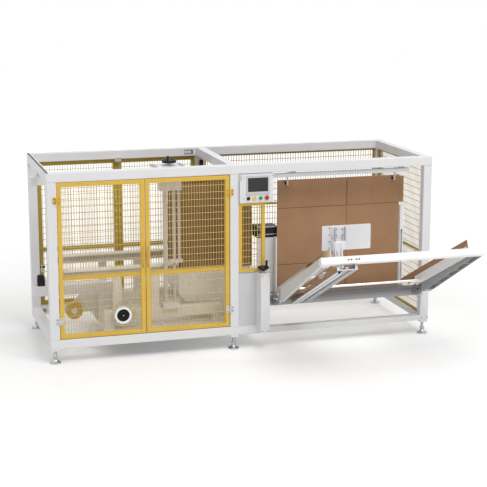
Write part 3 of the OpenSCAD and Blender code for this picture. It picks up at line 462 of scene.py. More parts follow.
# Painted shade: a dark board copy for the shadow line at the cut edge beside the blank's tab
CARD_EDGE_SHADE = board_finish("board_edge_painted_shade", (0.17, 0.092, 0.047))
TAPE = coated("wound_tape", (0.58, 0.37, 0.06), 0.3, 0.08, 300.0, 0.2)
GLASS = coated("screen_glass", (0.009, 0.0095, 0.011), 0.2, 0.1, 60.0, 0.01)
RED = coated("red_cap", (0.55, 0.012, 0.02), 0.3, 0.06)
GREEN = coated("green_cap", (0.015, 0.30, 0.10), 0.3, 0.06)
AMBER = coated("amber_cap", (0.83, 0.50, 0.03), 0.3, 0.06)
GROOVE = coated("shadow_groove", (0.42, 0.42, 0.43), 0.5, 0.05)
# Painted shade: the side rails darken from the left rail to the right one
SHADED_RAIL = shaded_along("rail_painted_shade", "X", MID_X, FRAME_LEN, (0.66, 0.65, 0.62), (0.36, 0.36, 0.37))
_, beam_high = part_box("magazine_crossbeam")
# Painted shade: the crossbeam darkens towards its top
SHADED_BEAM = shaded_along("crossbeam_painted_shade", "Z", beam_high[2] - 95 * MM, beam_high[2] - 15 * MM,
              (0.40, 0.40, 0.41), (0.13, 0.13, 0.13))
guide_low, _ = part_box("center_guide")
# Painted reflection: the brown tone on the guide's outer side stands in for the carton board seen in its
# polished face
GUIDE = guide_finish("guide_steel", guide_low[0] + 0.5 * MM, (0.46, 0.46, 0.47), (0.70, 0.43, 0.24))

node_finish = {
    WHITE: ["base_long_beams", "base_cross_beams", "posts", "top_long_beams", "top_cross_beams",
            "control_box", "adjuster_column", "pusher_arm", "outfeed_beam", "upper_guide_beam",
            "lift_block", "pusher_plate", "lift_bridge", "suction_plate", "guide_tubes"],
    PANEL: ["touch_screen", "lower_panel", "lift_rods", "blank_top_stops"],
    INNER: ["lower_beams", "folding_housing", "side_belt_units", "tape_unit", "bed_plate"],
    # painted light: the paler white copy on the front bar and the shaded side guides
    LIT_WHITE: ["magazine_front_bar", "blank_side_guides"],
    YELLOW: ["control_guard", "front_left_door", "front_right_door"],
    # painted shade: the darker yellow copy on the rear and end guards and the rear doors
    SHADED_YELLOW: ["rear_guard_frame", "rear_mesh_left", "rear_mesh_middle", "rear_mesh_right", "end_guard_frame",
            "end_mesh_front", "end_mesh_back", "rear_left_door", "rear_right_door"],
    STEEL: ["door_hinges", "rail_brackets", "wheel_spindles", "feed_chain"],
    # painted shade, graded along the rails and up the crossbeam
    SHADED_RAIL: ["magazine_side_rails"],
    SHADED_BEAM: ["magazine_crossbeam"],
    GUIDE: ["center_guide"],
    POLISHED: ["guide_boards"],
    CHROME: ["width_shaft"],
    FOOT: ["leveling_feet"],
    BLACK: ["control_buttons", "blank_top_rollers", "drive_motor", "column_wheel",
            "lift_wheel", "dial_wheel", "suction_head"],
    RUBBER: ["side_belts"],
    CARD: ["carton_blank", "opened_carton"],
    TAPE: ["tape_roll"],
}
for material, names in node_finish.items():
    for name in names:
        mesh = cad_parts[name].data
        mesh.materials.clear()
        mesh.materials.append(material)


# Doors and guards

def even(start, end, pitch):
    """Wire places from start to end at about the pitch, the first and last half a wire in."""
    count = max(1, int((end - start) // pitch))
    return np.linspace(start + WIRE_R, end - WIRE_R, count + 1)


def cut(start, end, centre, offset, radius):
    """The parts of a line outside a circle: half chord squared is radius squared less offset squared."""
    if abs(offset) >= radius:
        return [(start, end)]
    half_chord = np.sqrt(radius ** 2 - offset ** 2)
    return [(start, centre - half_chord), (centre + half_chord, end)]


def mesh_wires(u0, u1, z0, z1, depth, pitch, hole=None, wire_r=WIRE_R):
    """Upright wires behind level ones, which touch where they cross, with a round hole if asked for."""
    us = even(u0, u1, pitch)
    zs = even(z0, z1, MESH_PITCH_UP)
    back = depth + 3 * wire_r
    front = depth + 1.2 * wire_r
    hole_u, hole_z, radius = hole or (0.0, 0.0, 0.0)
    uprights = [(u, a, b) for u in us for a, b in cut(z0, z1, hole_z, u - hole_u, radius)]
    levels = [(z, a, b) for z in zs for a, b in cut(u0, u1, hole_u, z - hole_z, radius)]
    parts = [wires([(u, back, a) for u, a, _ in uprights], [(u, back, b) for u, _, b in uprights], wire_r),
             wires([(a, front, z) for z, a, _ in levels], [(b, front, z) for z, _, b in levels], wire_r)]
    return join(parts)


def bow_path(z):
    """A handle's centre line: out from the face, along it and back, with round corners."""
    reach = HANDLE_OUT - HANDLE_D / 2
    bend = 18 * MM
    top = HANDLE_LEN / 2 - HANDLE_D / 2
    angle = np.linspace(0, np.pi / 2, 7)
    upper = np.stack([-(reach - bend) - bend * np.sin(angle), top - bend + bend * np.cos(angle)], axis=1)
    lower = upper[::-1] * [1, -1]
    ends = np.array([[0.0, top]])
    points = np.concatenate([ends, upper, lower, ends * [1, -1]])
    return np.stack([np.zeros(len(points)), points[:, 0], z + points[:, 1]], axis=1)


def door_shapes(hole=None):
    """One door in its own frame: u from the hinge edge, depth from the face, z from the lower edge."""
    outline = rounded_rect(STILE, STILE_DEEP, 4 * MM)
    bars = [frame_ring(DOOR_W, DOOR_H, outline)]
    bars.append(chamfer_box((STILE - MM, MESH_SET + 4 * WIRE_R, MID_RAIL - STILE / 2),
                            (DOOR_W - STILE + MM, STILE_DEEP, MID_RAIL + STILE / 2), 2 * MM))
    edge = STILE / 2
    mesh = mesh_wires(edge, DOOR_W - edge, edge, DOOR_H - edge, MESH_SET, DOOR_PITCH, hole)
    handle_u = DOOR_W - edge
    path = bow_path(HANDLE_Z)
    path[:, 0] += handle_u
    grip = [tube(path, HANDLE_D / 2)]
    foot = in_mm([(0, 0), (11, 0), (11, 3), (9, 4), (0, 4)])
    caps = []
    for end in (-1, 1):
        z = HANDLE_Z + end * (HANDLE_LEN / 2 - HANDLE_D / 2)
        grip.append(lathe(foot, (handle_u, 0, z), FRONT))
        caps.append((handle_u, -MM, z + end * 19 * MM))
    leaves = []
    posts = []
    dots = []
    post_dots = []
    for z in HINGE_ZS:
        low = z - HINGE_H / 2
        pin = (-DOOR_GAP / 2, -PIN_OUT, 0)
        knuckle = [(0, 0), (KNUCKLE_R - MM, 0), (KNUCKLE_R, MM), (KNUCKLE_R, HINGE_H / 2 - 1.5 * MM),
                   (KNUCKLE_R - MM, HINGE_H / 2 - 0.5 * MM), (0, HINGE_H / 2 - 0.5 * MM)]
        leaves.append(lathe(knuckle, (pin[0], pin[1], low + HINGE_H / 2 + 0.5 * MM), UP))
        leaves.append(chamfer_box((LEAF_SET, -LEAF_T, low), (LEAF_SET + LEAF_W, 0, low + HINGE_H), 0.8 * MM))
        leaves.append(chamfer_box((-2 * MM, -LEAF_T, low + HINGE_H / 2 + 0.5 * MM),
                                  (LEAF_SET + 2 * MM, 0, low + HINGE_H), 0.5 * MM))
        fixed = -DOOR_GAP - LEAF_SET
        posts.append(lathe(knuckle, (pin[0], pin[1], low), UP))
        posts.append(chamfer_box((fixed - LEAF_W, -LEAF_T, low), (fixed, 0, low + HINGE_H), 0.8 * MM))
        posts.append(chamfer_box((fixed - 2 * MM, -LEAF_T, low),
                                 (-DOOR_GAP + 2 * MM, 0, low + HINGE_H / 2 - 0.5 * MM), 0.5 * MM))
        dots.extend([(LEAF_SET + LEAF_W / 2, -LEAF_T, low + k * HINGE_H) for k in LEAF_SCREWS])
        post_dots.extend([(fixed - LEAF_W / 2, -LEAF_T, low + k * HINGE_H) for k in LEAF_SCREWS])
    split = len(leaves) // 2
    return {
        "panel": join(bars),
        "mesh": mesh,
        "handle": join(grip),
        "lower_leaf": join(leaves[:split]),
        "upper_leaf": join(leaves[split:]),
        "screws": join([screws(caps, FRONT, 4 * MM), screws(dots, FRONT, 4 * MM)]),
        "lower_fixed": join(posts[:split]),
        "upper_fixed": join(posts[split:]),
        "fixed_screws": screws(post_dots, FRONT, 4 * MM),
    }


def placed(shape, corner, sign_x, sign_y):
    """A door's points moved to its corner, mirrored along X or Y where the signs are negative."""
    verts, faces = shape
    return np.asarray(corner) + verts * np.array([sign_x, sign_y, 1.0]), faces


# Place across and up, and radius, of the round hole in front of the dial wheel
REACH_HOLE = (558 * MM, 172 * MM, 70 * MM)
plain_door = door_shapes()
reach_door = door_shapes(REACH_HOLE)
doors = {
    "front_left_door": ((BAY_LEFT + DOOR_GAP, -HALF), 1, 1, YELLOW, YELLOW),
    "front_right_door": ((BAY_MID - DOOR_GAP, -HALF), -1, 1, YELLOW, YELLOW),
    # the rear doors take the darker yellow copies: painted shade
    "rear_left_door": ((BAY_LEFT + DOOR_GAP, FRAME_DEPTH + HALF), 1, -1, SHADED_YELLOW, STEEL),
    "rear_right_door": ((BAY_MID - DOOR_GAP, FRAME_DEPTH + HALF), -1, -1, SHADED_YELLOW, STEEL),
}
for name, ((x, y), sx, sy, door_finish, handle_finish) in doors.items():
    corner = (x, y, Z_BASE + DOOR_GAP)
    shapes = reach_door if name == "front_left_door" else plain_door
    # Rear doors take the darker wire copy: painted shade
    wire_finish = SHADED_WIRE if door_finish == SHADED_YELLOW else WIRE
    door_pieces = (
        ("panel", door_finish, name, "yellow_paint", (name,)),
        ("mesh", wire_finish, name, "yellow_paint", (name,)),
        ("handle", handle_finish, name, "yellow_paint", ()),
        ("lower_leaf", STEEL, name, "steel", ()),
        ("upper_leaf", door_finish, name, "yellow_paint", ()),
        ("screws", BLACK, name, "black_plastic", ()),
        ("lower_fixed", STEEL, "frame", "steel", ("door_hinges",)),
        ("upper_fixed", door_finish, "frame", "yellow_paint", ("door_hinges",)),
        ("fixed_screws", BLACK, "frame", "black_plastic", ()),
    )
    for key, finish, body, slot, replaced in door_pieces:
        piece(name + "_" + key, placed(shapes[key], corner, sx, sy), finish, body, replaced)


def guard(name, w, h, rails, bar, deep, depth, finish, wire_finish, wire_r, replaced, place):
    """A fixed guard: mitred frame, rails across it and wires, put in place by a function."""
    parts = [frame_ring(w, h, rounded_rect(bar, deep, 3 * MM))]
    for z in rails:
        parts.append(chamfer_box((bar - MM, 0, z - bar / 2), (w - bar + MM, deep, z + bar / 2), 2 * MM))
    verts, faces = join(parts)
    piece(name, (place(verts), faces), finish, "frame", replaced)
    verts, faces = mesh_wires(bar / 2, w - bar / 2, bar / 2, h - bar / 2, depth, GUARD_PITCH, wire_r=wire_r)
    piece(name + "_wires", (place(verts), faces), wire_finish, "frame", replaced)


def along_back(v):
    """Guard points on the back of the right bay, its outer face to +Y."""
    return np.stack([MID_X + HALF + v[:, 0], FRAME_DEPTH + GUARD_BAR / 2 - v[:, 1], Z_BASE + v[:, 2]], axis=1)


def along_end(v):
    """Guard points on the right end, its outer face to +X."""
    x = FRAME_LEN + GUARD_BAR / 2 - v[:, 1]
    return np.stack([x, HALF + v[:, 0], Z_FRAME + LOW_BEAM + v[:, 2]], axis=1)


REAR_RAIL_Z = 880 * MM
END_RAIL_Z = 590 * MM
GUARD_MESH_SET = -4 * MM
rear_nodes = ("rear_guard_frame", "rear_mesh_left", "rear_mesh_middle", "rear_mesh_right")
end_nodes = ("end_guard_frame", "end_mesh_front", "end_mesh_back")
# Both guards take the darker yellow copies: painted shade
guard("rear_guard_panel", FRAME_LEN - MID_X - TUBE, Z_TOP - Z_BASE, [REAR_RAIL_Z], GUARD_BAR, GUARD_BAR,
      GUARD_MESH_SET, SHADED_YELLOW, SHADED_WIRE, FAR_WIRE_R, rear_nodes, along_back)
guard("end_guard_panel", FRAME_DEPTH - TUBE, Z_TOP - Z_FRAME - LOW_BEAM, [END_RAIL_Z], GUARD_BAR, GUARD_BAR,
      GUARD_MESH_SET, SHADED_YELLOW, SHADED_WIRE, WIRE_R, end_nodes, along_end)

guard_low, guard_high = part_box("control_guard")


def beside_control(v):
    """Guard points under the control box, its face to the front."""
    return np.asarray(guard_low) + v


CONTROL_BAR = 30 * MM
guard("control_guard_panel", guard_high[0] - guard_low[0], guard_high[2] - guard_low[2], [], CONTROL_BAR,
      CONTROL_BAR, MESH_SET, YELLOW, WIRE, WIRE_R, ("control_guard",), beside_control)


# Control box: glass, buttons and screws

def corners(low, high, inset):
    """Four points in the X and Z plane, an inset in from a box's corners."""
    return [(x, z) for x in (low[0] + inset, high[0] - inset) for z in (low[2] + inset, high[2] - inset)]


bezel_low, bezel_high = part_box("touch_screen")
EDGE = 11 * MM
LOWER_EDGE = 27 * MM
pane = chamfer_box((bezel_low[0] + EDGE, bezel_low[1] + 0.6 * MM, bezel_low[2] + LOWER_EDGE),
                   (bezel_high[0] - EDGE, bezel_low[1] + 3 * MM, bezel_high[2] - EDGE), 0.4 * MM)
piece("screen_glass", pane, GLASS)

# A groove round the bezel, a hinge block and a dark joint along the box's left edge
box_low, box_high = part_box("control_box")
LIP = 3 * MM
BOX_HINGE_H = 54 * MM
groove = np.array([[0, 0], [LIP, 0], [LIP, 1.3 * MM], [0, 1.3 * MM]])
bezel_w = bezel_high[0] - bezel_low[0]
bezel_h = bezel_high[2] - bezel_low[2]
verts, faces = frame_ring(bezel_w + 2 * LIP, bezel_h + 2 * LIP, groove)
start = np.array([bezel_low[0] - LIP, box_low[1] - 0.8 * MM, bezel_low[2] - LIP])
piece("bezel_groove", (start + verts, faces), GROOVE)
hinge = chamfer_box((box_low[0] + MM, box_low[1] - 4 * MM, box_high[2] - BOX_HINGE_H),
                    (box_low[0] + 19 * MM, box_low[1], box_high[2] - 2 * MM), 1.5 * MM)
piece("control_box_hinge", hinge, CASTING)
joint_top = box_high[2] - BOX_HINGE_H - 2 * MM
joint = chamfer_box((box_low[0] - 0.5 * MM, box_low[1] - MM, box_low[2] + MM),
                    (box_low[0] + 2.5 * MM, box_low[1] + 2 * MM, joint_top), 0.4 * MM)
piece("control_box_joint", joint, DARK)

row_low, row_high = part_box("control_buttons")
row_r = (row_high[2] - row_low[2]) / 2
row_x = np.linspace(row_low[0] + row_r, row_high[0] - row_r, 4)
row_z = (row_low[2] + row_high[2]) / 2
rings = []
for x, finish, label in zip(row_x, (BLACK, AMBER, GREEN, RED), ("selector", "amber", "green", "red")):
    place = (x, row_high[1], row_z)
    rings.append(lathe([(0, 0), (row_r, 0), (row_r, 4 * MM), (row_r - 2 * MM, 6 * MM), (0, 6 * MM)],
                       place, FRONT, 32))
    cap_r = row_r * (1.1 if label == "red" else 0.92)
    cap = lathe([(0, 5 * MM), (cap_r, 5 * MM), (cap_r, 11 * MM), (cap_r - 2 * MM, 13.2 * MM),
                 (0.5 * cap_r, 13.8 * MM), (0, 14 * MM)], place, FRONT, 32)
    piece(label + "_button", cap, finish, replaced=("control_buttons",))
piece("button_rings", join(rings), STEEL, replaced=("control_buttons",))

# Small fixings on the frame

dark = []
pale = []
lid_screws = [(box_low[0] + 35 * MM, box_high[2] - 30 * MM), (box_low[0] + 35 * MM, box_low[2] + 38 * MM),
              (box_high[0] - 14 * MM, box_high[2] - 18 * MM)]
dark.append(screws([(x, box_low[1], z) for x, z in lid_screws], FRONT, 3.2 * MM))
col_low, col_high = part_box("adjuster_column")
column_screws = [(x, col_low[1], z) for x, z in corners(col_low, col_high, 15 * MM)]
post_screws = [(FRAME_LEN + s * 24 * MM, -HALF, Z_FRAME + 26 * MM) for s in (-1, 1)]
dark.append(screws(column_screws + post_screws, FRONT, 4 * MM))

# Bolts of the rail gussets, on their faces to the left
gusset_low, gusset_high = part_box("rail_brackets")
GUSSET_T = 10 * MM
gusset_yz = [(-225 * MM, 535 * MM), (-200 * MM, 485 * MM), (-120 * MM, 470 * MM)]
pale.append(screws([(gusset_low[0], y, z) for y, z in gusset_yz], LEFT, 8 * MM))
dark.append(screws([(gusset_high[0] - GUSSET_T, y, z) for y, z in gusset_yz[:2]], LEFT, 8 * MM))

# Four bolts through the front bar into the centre guide, heads on its face
BAR = 62 * MM
bolt_x = guide_low[0] + 96 * MM + np.array([0.0, 25.0, 67.0, 91.0]) * MM
face = np.array([[x, -RAMP_LEN - BAR, -BAR / 2] for x in bolt_x])
out = on_ramp(np.array([[0.0, -1.0, 0.0]]))[0] - on_ramp(np.zeros((1, 3)))[0]
dark.append(screws(on_ramp(face), out, 6 * MM))
piece("dark_screws", join(dark), BLACK)
piece("pale_bolts", join(pale), CHROME)

# Pusher: the cover of its block, the channel on the plate's bracket, and their bolts
plate_low, plate_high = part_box("pusher_plate")
ARM_X = 2270 * MM
BRACKET_T = 12 * MM
bracket_y = plate_low[1] - BRACKET_T
bolts = [(plate_low[0] + u * MM, bracket_y - 4 * MM, plate_high[2] - d * MM)
         for u in (120, 172) for d in (30, 83)]
stud_z = np.linspace(plate_low[2] + 20 * MM, plate_high[2] - 20 * MM, 4)
studs = [(plate_low[0] + 64 * MM, plate_low[1], z) for z in stud_z]
arm_spot = (ARM_X, plate_low[1], plate_low[2])
block = box_from(arm_spot, (-32, -54, 14), (60, -13, 82), 3)
link = box_from(arm_spot, (-8, -53, -184), (24, -44, 20), 2)
# The block cover takes the paler white copy for its highlight: painted light
piece("pusher_block_cover", join([block, link]), LIT_WHITE, "pusher")
channel_spot = (plate_low[0] + 101 * MM, bracket_y, plate_high[2] - 10 * MM)
channel_plate = box_from(channel_spot, (0, -4, -88), (96, 1, 0), 1)
piece("pusher_channel_plate", channel_plate, WHITE, "pusher")
channel = [box_from(channel_spot, (left, -34, -118), (left + 7, -3, 0), 1) for left in (0, 89)]
piece("pusher_channel", join(channel), CASTING, "pusher")
heads = join([screws(bolts, FRONT, 6 * MM), screws(studs, FRONT, 5 * MM)])
piece("pusher_bolts", heads, DARK, "pusher")

# Rods, and two toothed strips in dark slots, on the underside of the centre guide
GUIDE_UNDER = -108 * MM
GUIDE_OUTER_END = -1200 * MM
ROD_R = 9.5 * MM
ROD_DROP = 10 * MM
ROD_XS = (2128.5 * MM, 2164.5 * MM)
rods = []
for x in ROD_XS:
    ends = on_ramp([(x, y, GUIDE_UNDER - ROD_DROP) for y in (GUIDE_OUTER_END, 74 * MM)])
    length = np.linalg.norm(ends[1] - ends[0])
    bar = [(0, 0), (ROD_R - MM, 0), (ROD_R, MM), (ROD_R, length - MM), (ROD_R - MM, length), (0, length)]
    rods.append(lathe(bar, ends[0], ends[1] - ends[0], 24))
# The rods take the paler white copy: painted light
piece("guide_rods", join(rods), LIT_WHITE, replaced=("guide_tubes",))


def under_guide(across, along, drop, bevel):
    """A box from its spans across the ramp, along it, and below the underside of the guide."""
    low = (across[0], along[0], GUIDE_UNDER - drop[0])
    high = (across[1], along[1], GUIDE_UNDER - drop[1])
    return chamfer_box(low, high, bevel)


NARROW_SLOT = (2138 * MM, 2155 * MM)
NARROW_TEETH = (2140 * MM, 2148 * MM)
WIDE_SLOT = (2222 * MM, 2256 * MM)
WIDE_TEETH = (2228 * MM, 2250 * MM)
FIRST_TOOTH = GUIDE_OUTER_END + 10 * MM
slots = [under_guide(NARROW_SLOT, (GUIDE_OUTER_END, 60 * MM), (14 * MM, -MM), 0.5 * MM),
         under_guide(WIDE_SLOT, (GUIDE_OUTER_END, 20 * MM), (MM, -MM), 0.5 * MM)]
piece("guide_slot", ramped(slots), BLACK)
teeth = [under_guide(NARROW_TEETH, (y, y + 8 * MM), (17 * MM, 13 * MM), 0.8 * MM)
         for y in np.arange(FIRST_TOOTH, 40 * MM, 20 * MM)]
teeth += [under_guide(WIDE_TEETH, (y, y + 14 * MM), (4 * MM, 0.5 * MM), 0.8 * MM)
          for y in np.arange(FIRST_TOOTH, 0, 30 * MM)]
piece("guide_rack_teeth", ramped(teeth), STEEL)

# Steel edges on the dark suction head
head_low, head_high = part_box("suction_head")
trim = [chamfer_box((head_low[0] + MM, head_low[1] - 2 * MM, head_low[2] + 26 * MM),
                    (head_high[0] - MM, head_low[1] + MM, head_low[2] + 33 * MM), 0.6 * MM),
        chamfer_box((head_low[0], head_low[1] - 3 * MM, head_high[2] - 9 * MM),
                    (head_high[0], head_low[1] + 2 * MM, head_high[2] + MM), 0.8 * MM)]
piece("suction_head_trim", join(trim), CASTING)

# White strip on the inner face of the right guide board, below the part that mirrors the blank
strip = chamfer_box((3301 * MM, GUIDE_OUTER_END, -50 * MM), (3303 * MM, -30 * MM, 35 * MM), 0.5 * MM)
# The strip takes the paler white copy: painted light
piece("guide_board_strip", ramped([strip]), LIT_WHITE)

# Cartons: panels with open scores and slots between them

blank_low, blank_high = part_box("carton_blank")
FLAP = 262 * MM
BOARD = 6 * MM
SCORE = 2.4 * MM
SLOT = 4 * MM
PANEL_SPLIT = blank_low[0] + 675 * MM
TAB = 48 * MM
LEFT_CREASE = 0.764
FLAP_LEAN = 0.006


def leaning(low, high, bevel, lean):
    """A thin box whose top or bottom edge leans to the front by a part of its height."""
    verts, faces = chamfer_box(low, high, bevel)
    start = low[2] if lean > 0 else high[2]
    verts[:, 1] -= lean * (verts[:, 2] - start)
    return verts, faces


def blank_shapes():
    """The flat blank: a back layer, and a front layer of two body panels and four flaps."""
    left, right = blank_low[0], blank_high[0] - TAB
    y0 = blank_low[1]
    z0, z3 = blank_low[2], blank_high[2]
    z1, z2 = z0 + FLAP, z3 - FLAP
    parts = [chamfer_box((left + MM, y0 + BOARD + 0.5 * MM, z0 + MM), (right, y0 + 2 * BOARD, z3 - MM), MM)]
    parts.append(chamfer_box((right - MM, y0 + BOARD + 0.5 * MM, z2 + MM),
                             (right + TAB, y0 + 2 * BOARD, z3 - 14 * MM), MM))
    for x0, x1, inner in ((left, PANEL_SPLIT, 1), (PANEL_SPLIT, right, 0)):
        a = x0 if inner else x0 + SCORE / 2
        b = x1 - SCORE / 2 if inner else x1
        parts.append(chamfer_box((a, y0, z1 + SCORE), (b, y0 + BOARD, z2 - SCORE), MM))
        a = x0 if inner else x0 + SLOT
        b = x1 - SLOT if inner else x1
        crease = a + (LEFT_CREASE if inner else 0.5) * (b - a)
        fold = 0.4 * MM if inner else 0.0
        parts.append(leaning((a, y0, z2 + SCORE), (crease - fold, y0 + BOARD, z3), 0.6 * MM, FLAP_LEAN))
        parts.append(leaning((crease + fold, y0, z2 + SCORE), (b, y0 + BOARD, z3), 0.6 * MM, FLAP_LEAN))
        parts.append(leaning((a, y0, z0), (b, y0 + BOARD, z1 - SCORE), MM, -FLAP_LEAN))
    return join(parts)


piece("blank_board", blank_shapes(), CARD, replaced=("carton_blank",), sharp=20)

# Cut edge of the front layer beside the tab, painted dark as the shade of the gap there, in two lengths that
# stop at the score
edge_x = blank_high[0] - TAB
fold_z = blank_high[2] - FLAP
edge_spans = ((blank_low[2] + MM, fold_z - SCORE), (fold_z + SCORE, blank_high[2] - 2 * MM))
edges = [chamfer_box((edge_x - 0.5 * MM, blank_low[1] + 0.8 * MM, low),
                     (edge_x + 1.5 * MM, blank_low[1] + BOARD, high), 0.3 * MM) for low, high in edge_spans]
piece("blank_edge_shade_strip", join(edges), CARD_EDGE_SHADE)

carton_low, carton_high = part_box("opened_carton")


def carton_shapes():
    """The opened carton: four walls and a floor, with four flaps over an open score."""
    x0, y0, z0 = carton_low
    x1, y1, z1 = carton_high
    fold = z1 - FLAP
    gap = 8 * MM
    parts = [chamfer_box((x0, y0, z0), (x1, y1, z0 + BOARD), MM)]
    for low_z, high_z, inset in ((z0, fold - SCORE, 0), (fold + SCORE, z1, gap)):
        for y in (y0, y1 - BOARD):
            parts.append(chamfer_box((x0 + inset, y, low_z), (x1 - inset, y + BOARD, high_z), MM))
        for x in (x0, x1 - BOARD):
            parts.append(chamfer_box((x, y0 + inset, low_z), (x + BOARD, y1 - inset, high_z), MM))
    return join(parts)


# The opened carton is drawn in the darker board copy: painted shade
piece("open_carton_board", carton_shapes(), CARD_SHADED, replaced=("opened_carton",),
      sharp=20)

# Tape roll, feet and hand wheels

roll_low, roll_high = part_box("tape_roll")


def roll_shape(core):
    """A wound roll: its side faces rise and fall by a third of a millimetre from turn to turn."""
    outer = (roll_high[0] - roll_low[0]) / 2
    width = roll_high[1] - roll_low[1]
    turns = np.linspace(core, outer - MM, 40)
    ripple = 0.3 * MM * (np.arange(40) % 2)
    first = np.stack([turns, ripple], axis=1)
    second = np.stack([turns[::-1], width - ripple], axis=1)
    rim = np.array([[outer, 1.2 * MM], [outer, width - 1.2 * MM]])
    loop = np.concatenate([first, rim, second, [[core, width]], [[core, 0]]])
    centre = ((roll_low[0] + roll_high[0]) / 2, roll_high[1], (roll_low[2] + roll_high[2]) / 2)
    return turned_ring(loop, centre, FRONT, 64)


piece("wound_tape", roll_shape(28 * MM), TAPE, replaced=("tape_roll",))


def foot_shape(x, y):
    """A levelling foot: a rim, a flare that falls off as a power curve, a thread and two six-sided nuts."""
    t = np.linspace(0, 1, 14)
    base = in_mm([(0, 0), (47, 0), (50, 2), (50, 10), (48, 12)])
    flare = in_mm(np.stack([17 + 27 * (1 - t) ** 2.2, 12 + 30 * t], axis=1))
    z = np.linspace(43 * MM, 100 * MM, 90)
    thread = np.stack([13 * MM - 0.7 * MM * (0.5 + 0.5 * np.cos(z / (2.4 * MM) * 2 * np.pi)), z], axis=1)
    top = in_mm([(13, 128), (0, 128)])
    turned = lathe(np.concatenate([base, flare, thread, top]), (x, y, 0), UP, 40)
    nut = in_mm([(0, 0), (21, 0), (22, 1), (22, 15), (21, 16), (0, 16)])
    parts = [turned, lathe(nut, (x, y, 109 * MM), UP, 6), lathe(nut, (x, y, 46 * MM), UP, 6)]
    return join(parts)


foot_places = [(x, y) for x in (0, MID_X, FRAME_LEN) for y in (0, FRAME_DEPTH)]
flanges = [box_from((x, y, Z_FRAME), (-38, -38, -20), (38, 38, 0), 2) for x, y in foot_places]
piece("foot_flanges", join(flanges), WHITE, replaced=("leveling_feet",))
feet = [foot_shape(x, y) for x, y in foot_places]
piece("turned_feet", join(feet), FOOT, replaced=("leveling_feet",))


def wheel_shapes(centre, loop, grip_turn, reach, foot_z, grip_length):
    """A hand wheel, sizes in millimetres: a closed profile goes round the spindle, with a turned grip."""
    dish = turned_ring(in_mm(loop), centre, UP, 48)
    turn = np.radians(grip_turn)
    foot = centre + in_mm([np.cos(turn) * reach, np.sin(turn) * reach, foot_z])
    grip = np.array([(0, 0), (9.5, 0), (9, 0.08), (10, 0.3), (11, 0.7), (11.5, 0.9), (10, 1), (0, 1)])
    grip *= (MM, grip_length * MM)
    return join([dish, lathe(grip, foot, UP, 20)])


# The column's wheel is a shallow bowl, and the lift's wheel a low drum
BOWL = [(6.5, 0), (12, 0), (13, 7), (22, 9), (34, 14), (44, 21), (50, 29), (52.5, 35), (51.5, 39), (48, 41),
        (44, 38), (37, 32), (28, 25), (16, 21), (6.5, 21)]
DRUM = [(6.5, 0), (16, 0), (20, 5), (52, 7), (62, 10), (65, 14), (66, 22), (65, 29), (61, 33), (54, 32),
        (48, 25), (22, 21), (16, 26), (6.5, 26)]
BOWL_R = max(r for r, _ in BOWL) * MM
LIFT_X = 1085 * MM
LIFT_Y = 200 * MM
wheel_low, wheel_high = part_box("column_wheel")
column_spot = (wheel_low[0] + BOWL_R, (wheel_low[1] + wheel_high[1]) / 2, wheel_low[2])
bowl = wheel_shapes(column_spot, BOWL, grip_turn=22, reach=37, foot_z=31, grip_length=62)
piece("column_hand_wheel", bowl, BLACK, "column_wheel", ("column_wheel",))
wheel_low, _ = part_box("lift_wheel")
drum = wheel_shapes((LIFT_X, LIFT_Y, wheel_low[2]), DRUM, grip_turn=246, reach=53, foot_z=30, grip_length=45)
piece("lift_hand_wheel", drum, BLACK, "lift_wheel", ("lift_wheel",))

# Lock screws and a seal where the rear doors meet
rear_low, rear_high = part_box("rear_left_door")
other_low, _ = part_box("rear_right_door")
LOCK_HEIGHTS = (1.06, 1.15)
for body, x in (("rear_left_door", rear_high[0] - STILE / 2), ("rear_right_door", other_low[0] + STILE / 2)):
    spots = [(x, FRAME_DEPTH + HALF - STILE_DEEP, z) for z in LOCK_HEIGHTS]
    piece(body + "_lock_screws", screws(spots, FRONT, 5 * MM), BLACK, body)
seal_and_strip = chamfer_box((rear_high[0] - 4 * MM, FRAME_DEPTH + HALF - STILE_DEEP + 4 * MM, rear_low[2] + 2 * MM),
                   (other_low[0] - 1.5 * MM, FRAME_DEPTH + HALF - 10 * MM, rear_high[2] - 2 * MM), MM)
piece("rear_meeting_seal", seal_and_strip, SHADED_YELLOW, "rear_left_door")

# A dark strip along the outfeed end's top edge, and a slotted plate on the rear top beam
_, beams_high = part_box("top_long_beams")
END_STRIP_X = -HALF + 2 * MM
END_STRIP_W = 18 * MM
END_STRIP_END = HALF - 4 * MM
seal_and_strip = chamfer_box((END_STRIP_X, -END_STRIP_END, beams_high[2] - MM),
                   (END_STRIP_X + END_STRIP_W, FRAME_DEPTH + END_STRIP_END, beams_high[2] + 1.5 * MM), 0.5 * MM)
piece("end_beam_dark_strip", seal_and_strip, BLACK)
rear_face = FRAME_DEPTH - HALF
plate_spot = (MID_X - HALF - 40 * MM, rear_face, beams_high[2] - HALF)
backing = box_from(plate_spot, (-85, -2, -21), (0, 1, 21), 0.5)
cover = box_from(plate_spot, (-85, -4, -15), (-14, -1, 15), 0.5)
piece("rear_slot_backing", backing, BLACK)
piece("rear_slot_cover", cover, PANEL)

# Cooling fins round the drive motor
motor_low, motor_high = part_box("drive_motor")
FIN = 2 * MM
FIN_PITCH = 9 * MM
fins = [chamfer_box((motor_low[0] - FIN, motor_low[1] - FIN, z),
                    (motor_high[0] + FIN, motor_high[1] + FIN, z + 2 * FIN), MM)
        for z in np.arange(motor_low[2] + 8 * MM, motor_high[2] - 24 * MM, FIN_PITCH)]
piece("motor_fins", join(fins), BLACK)

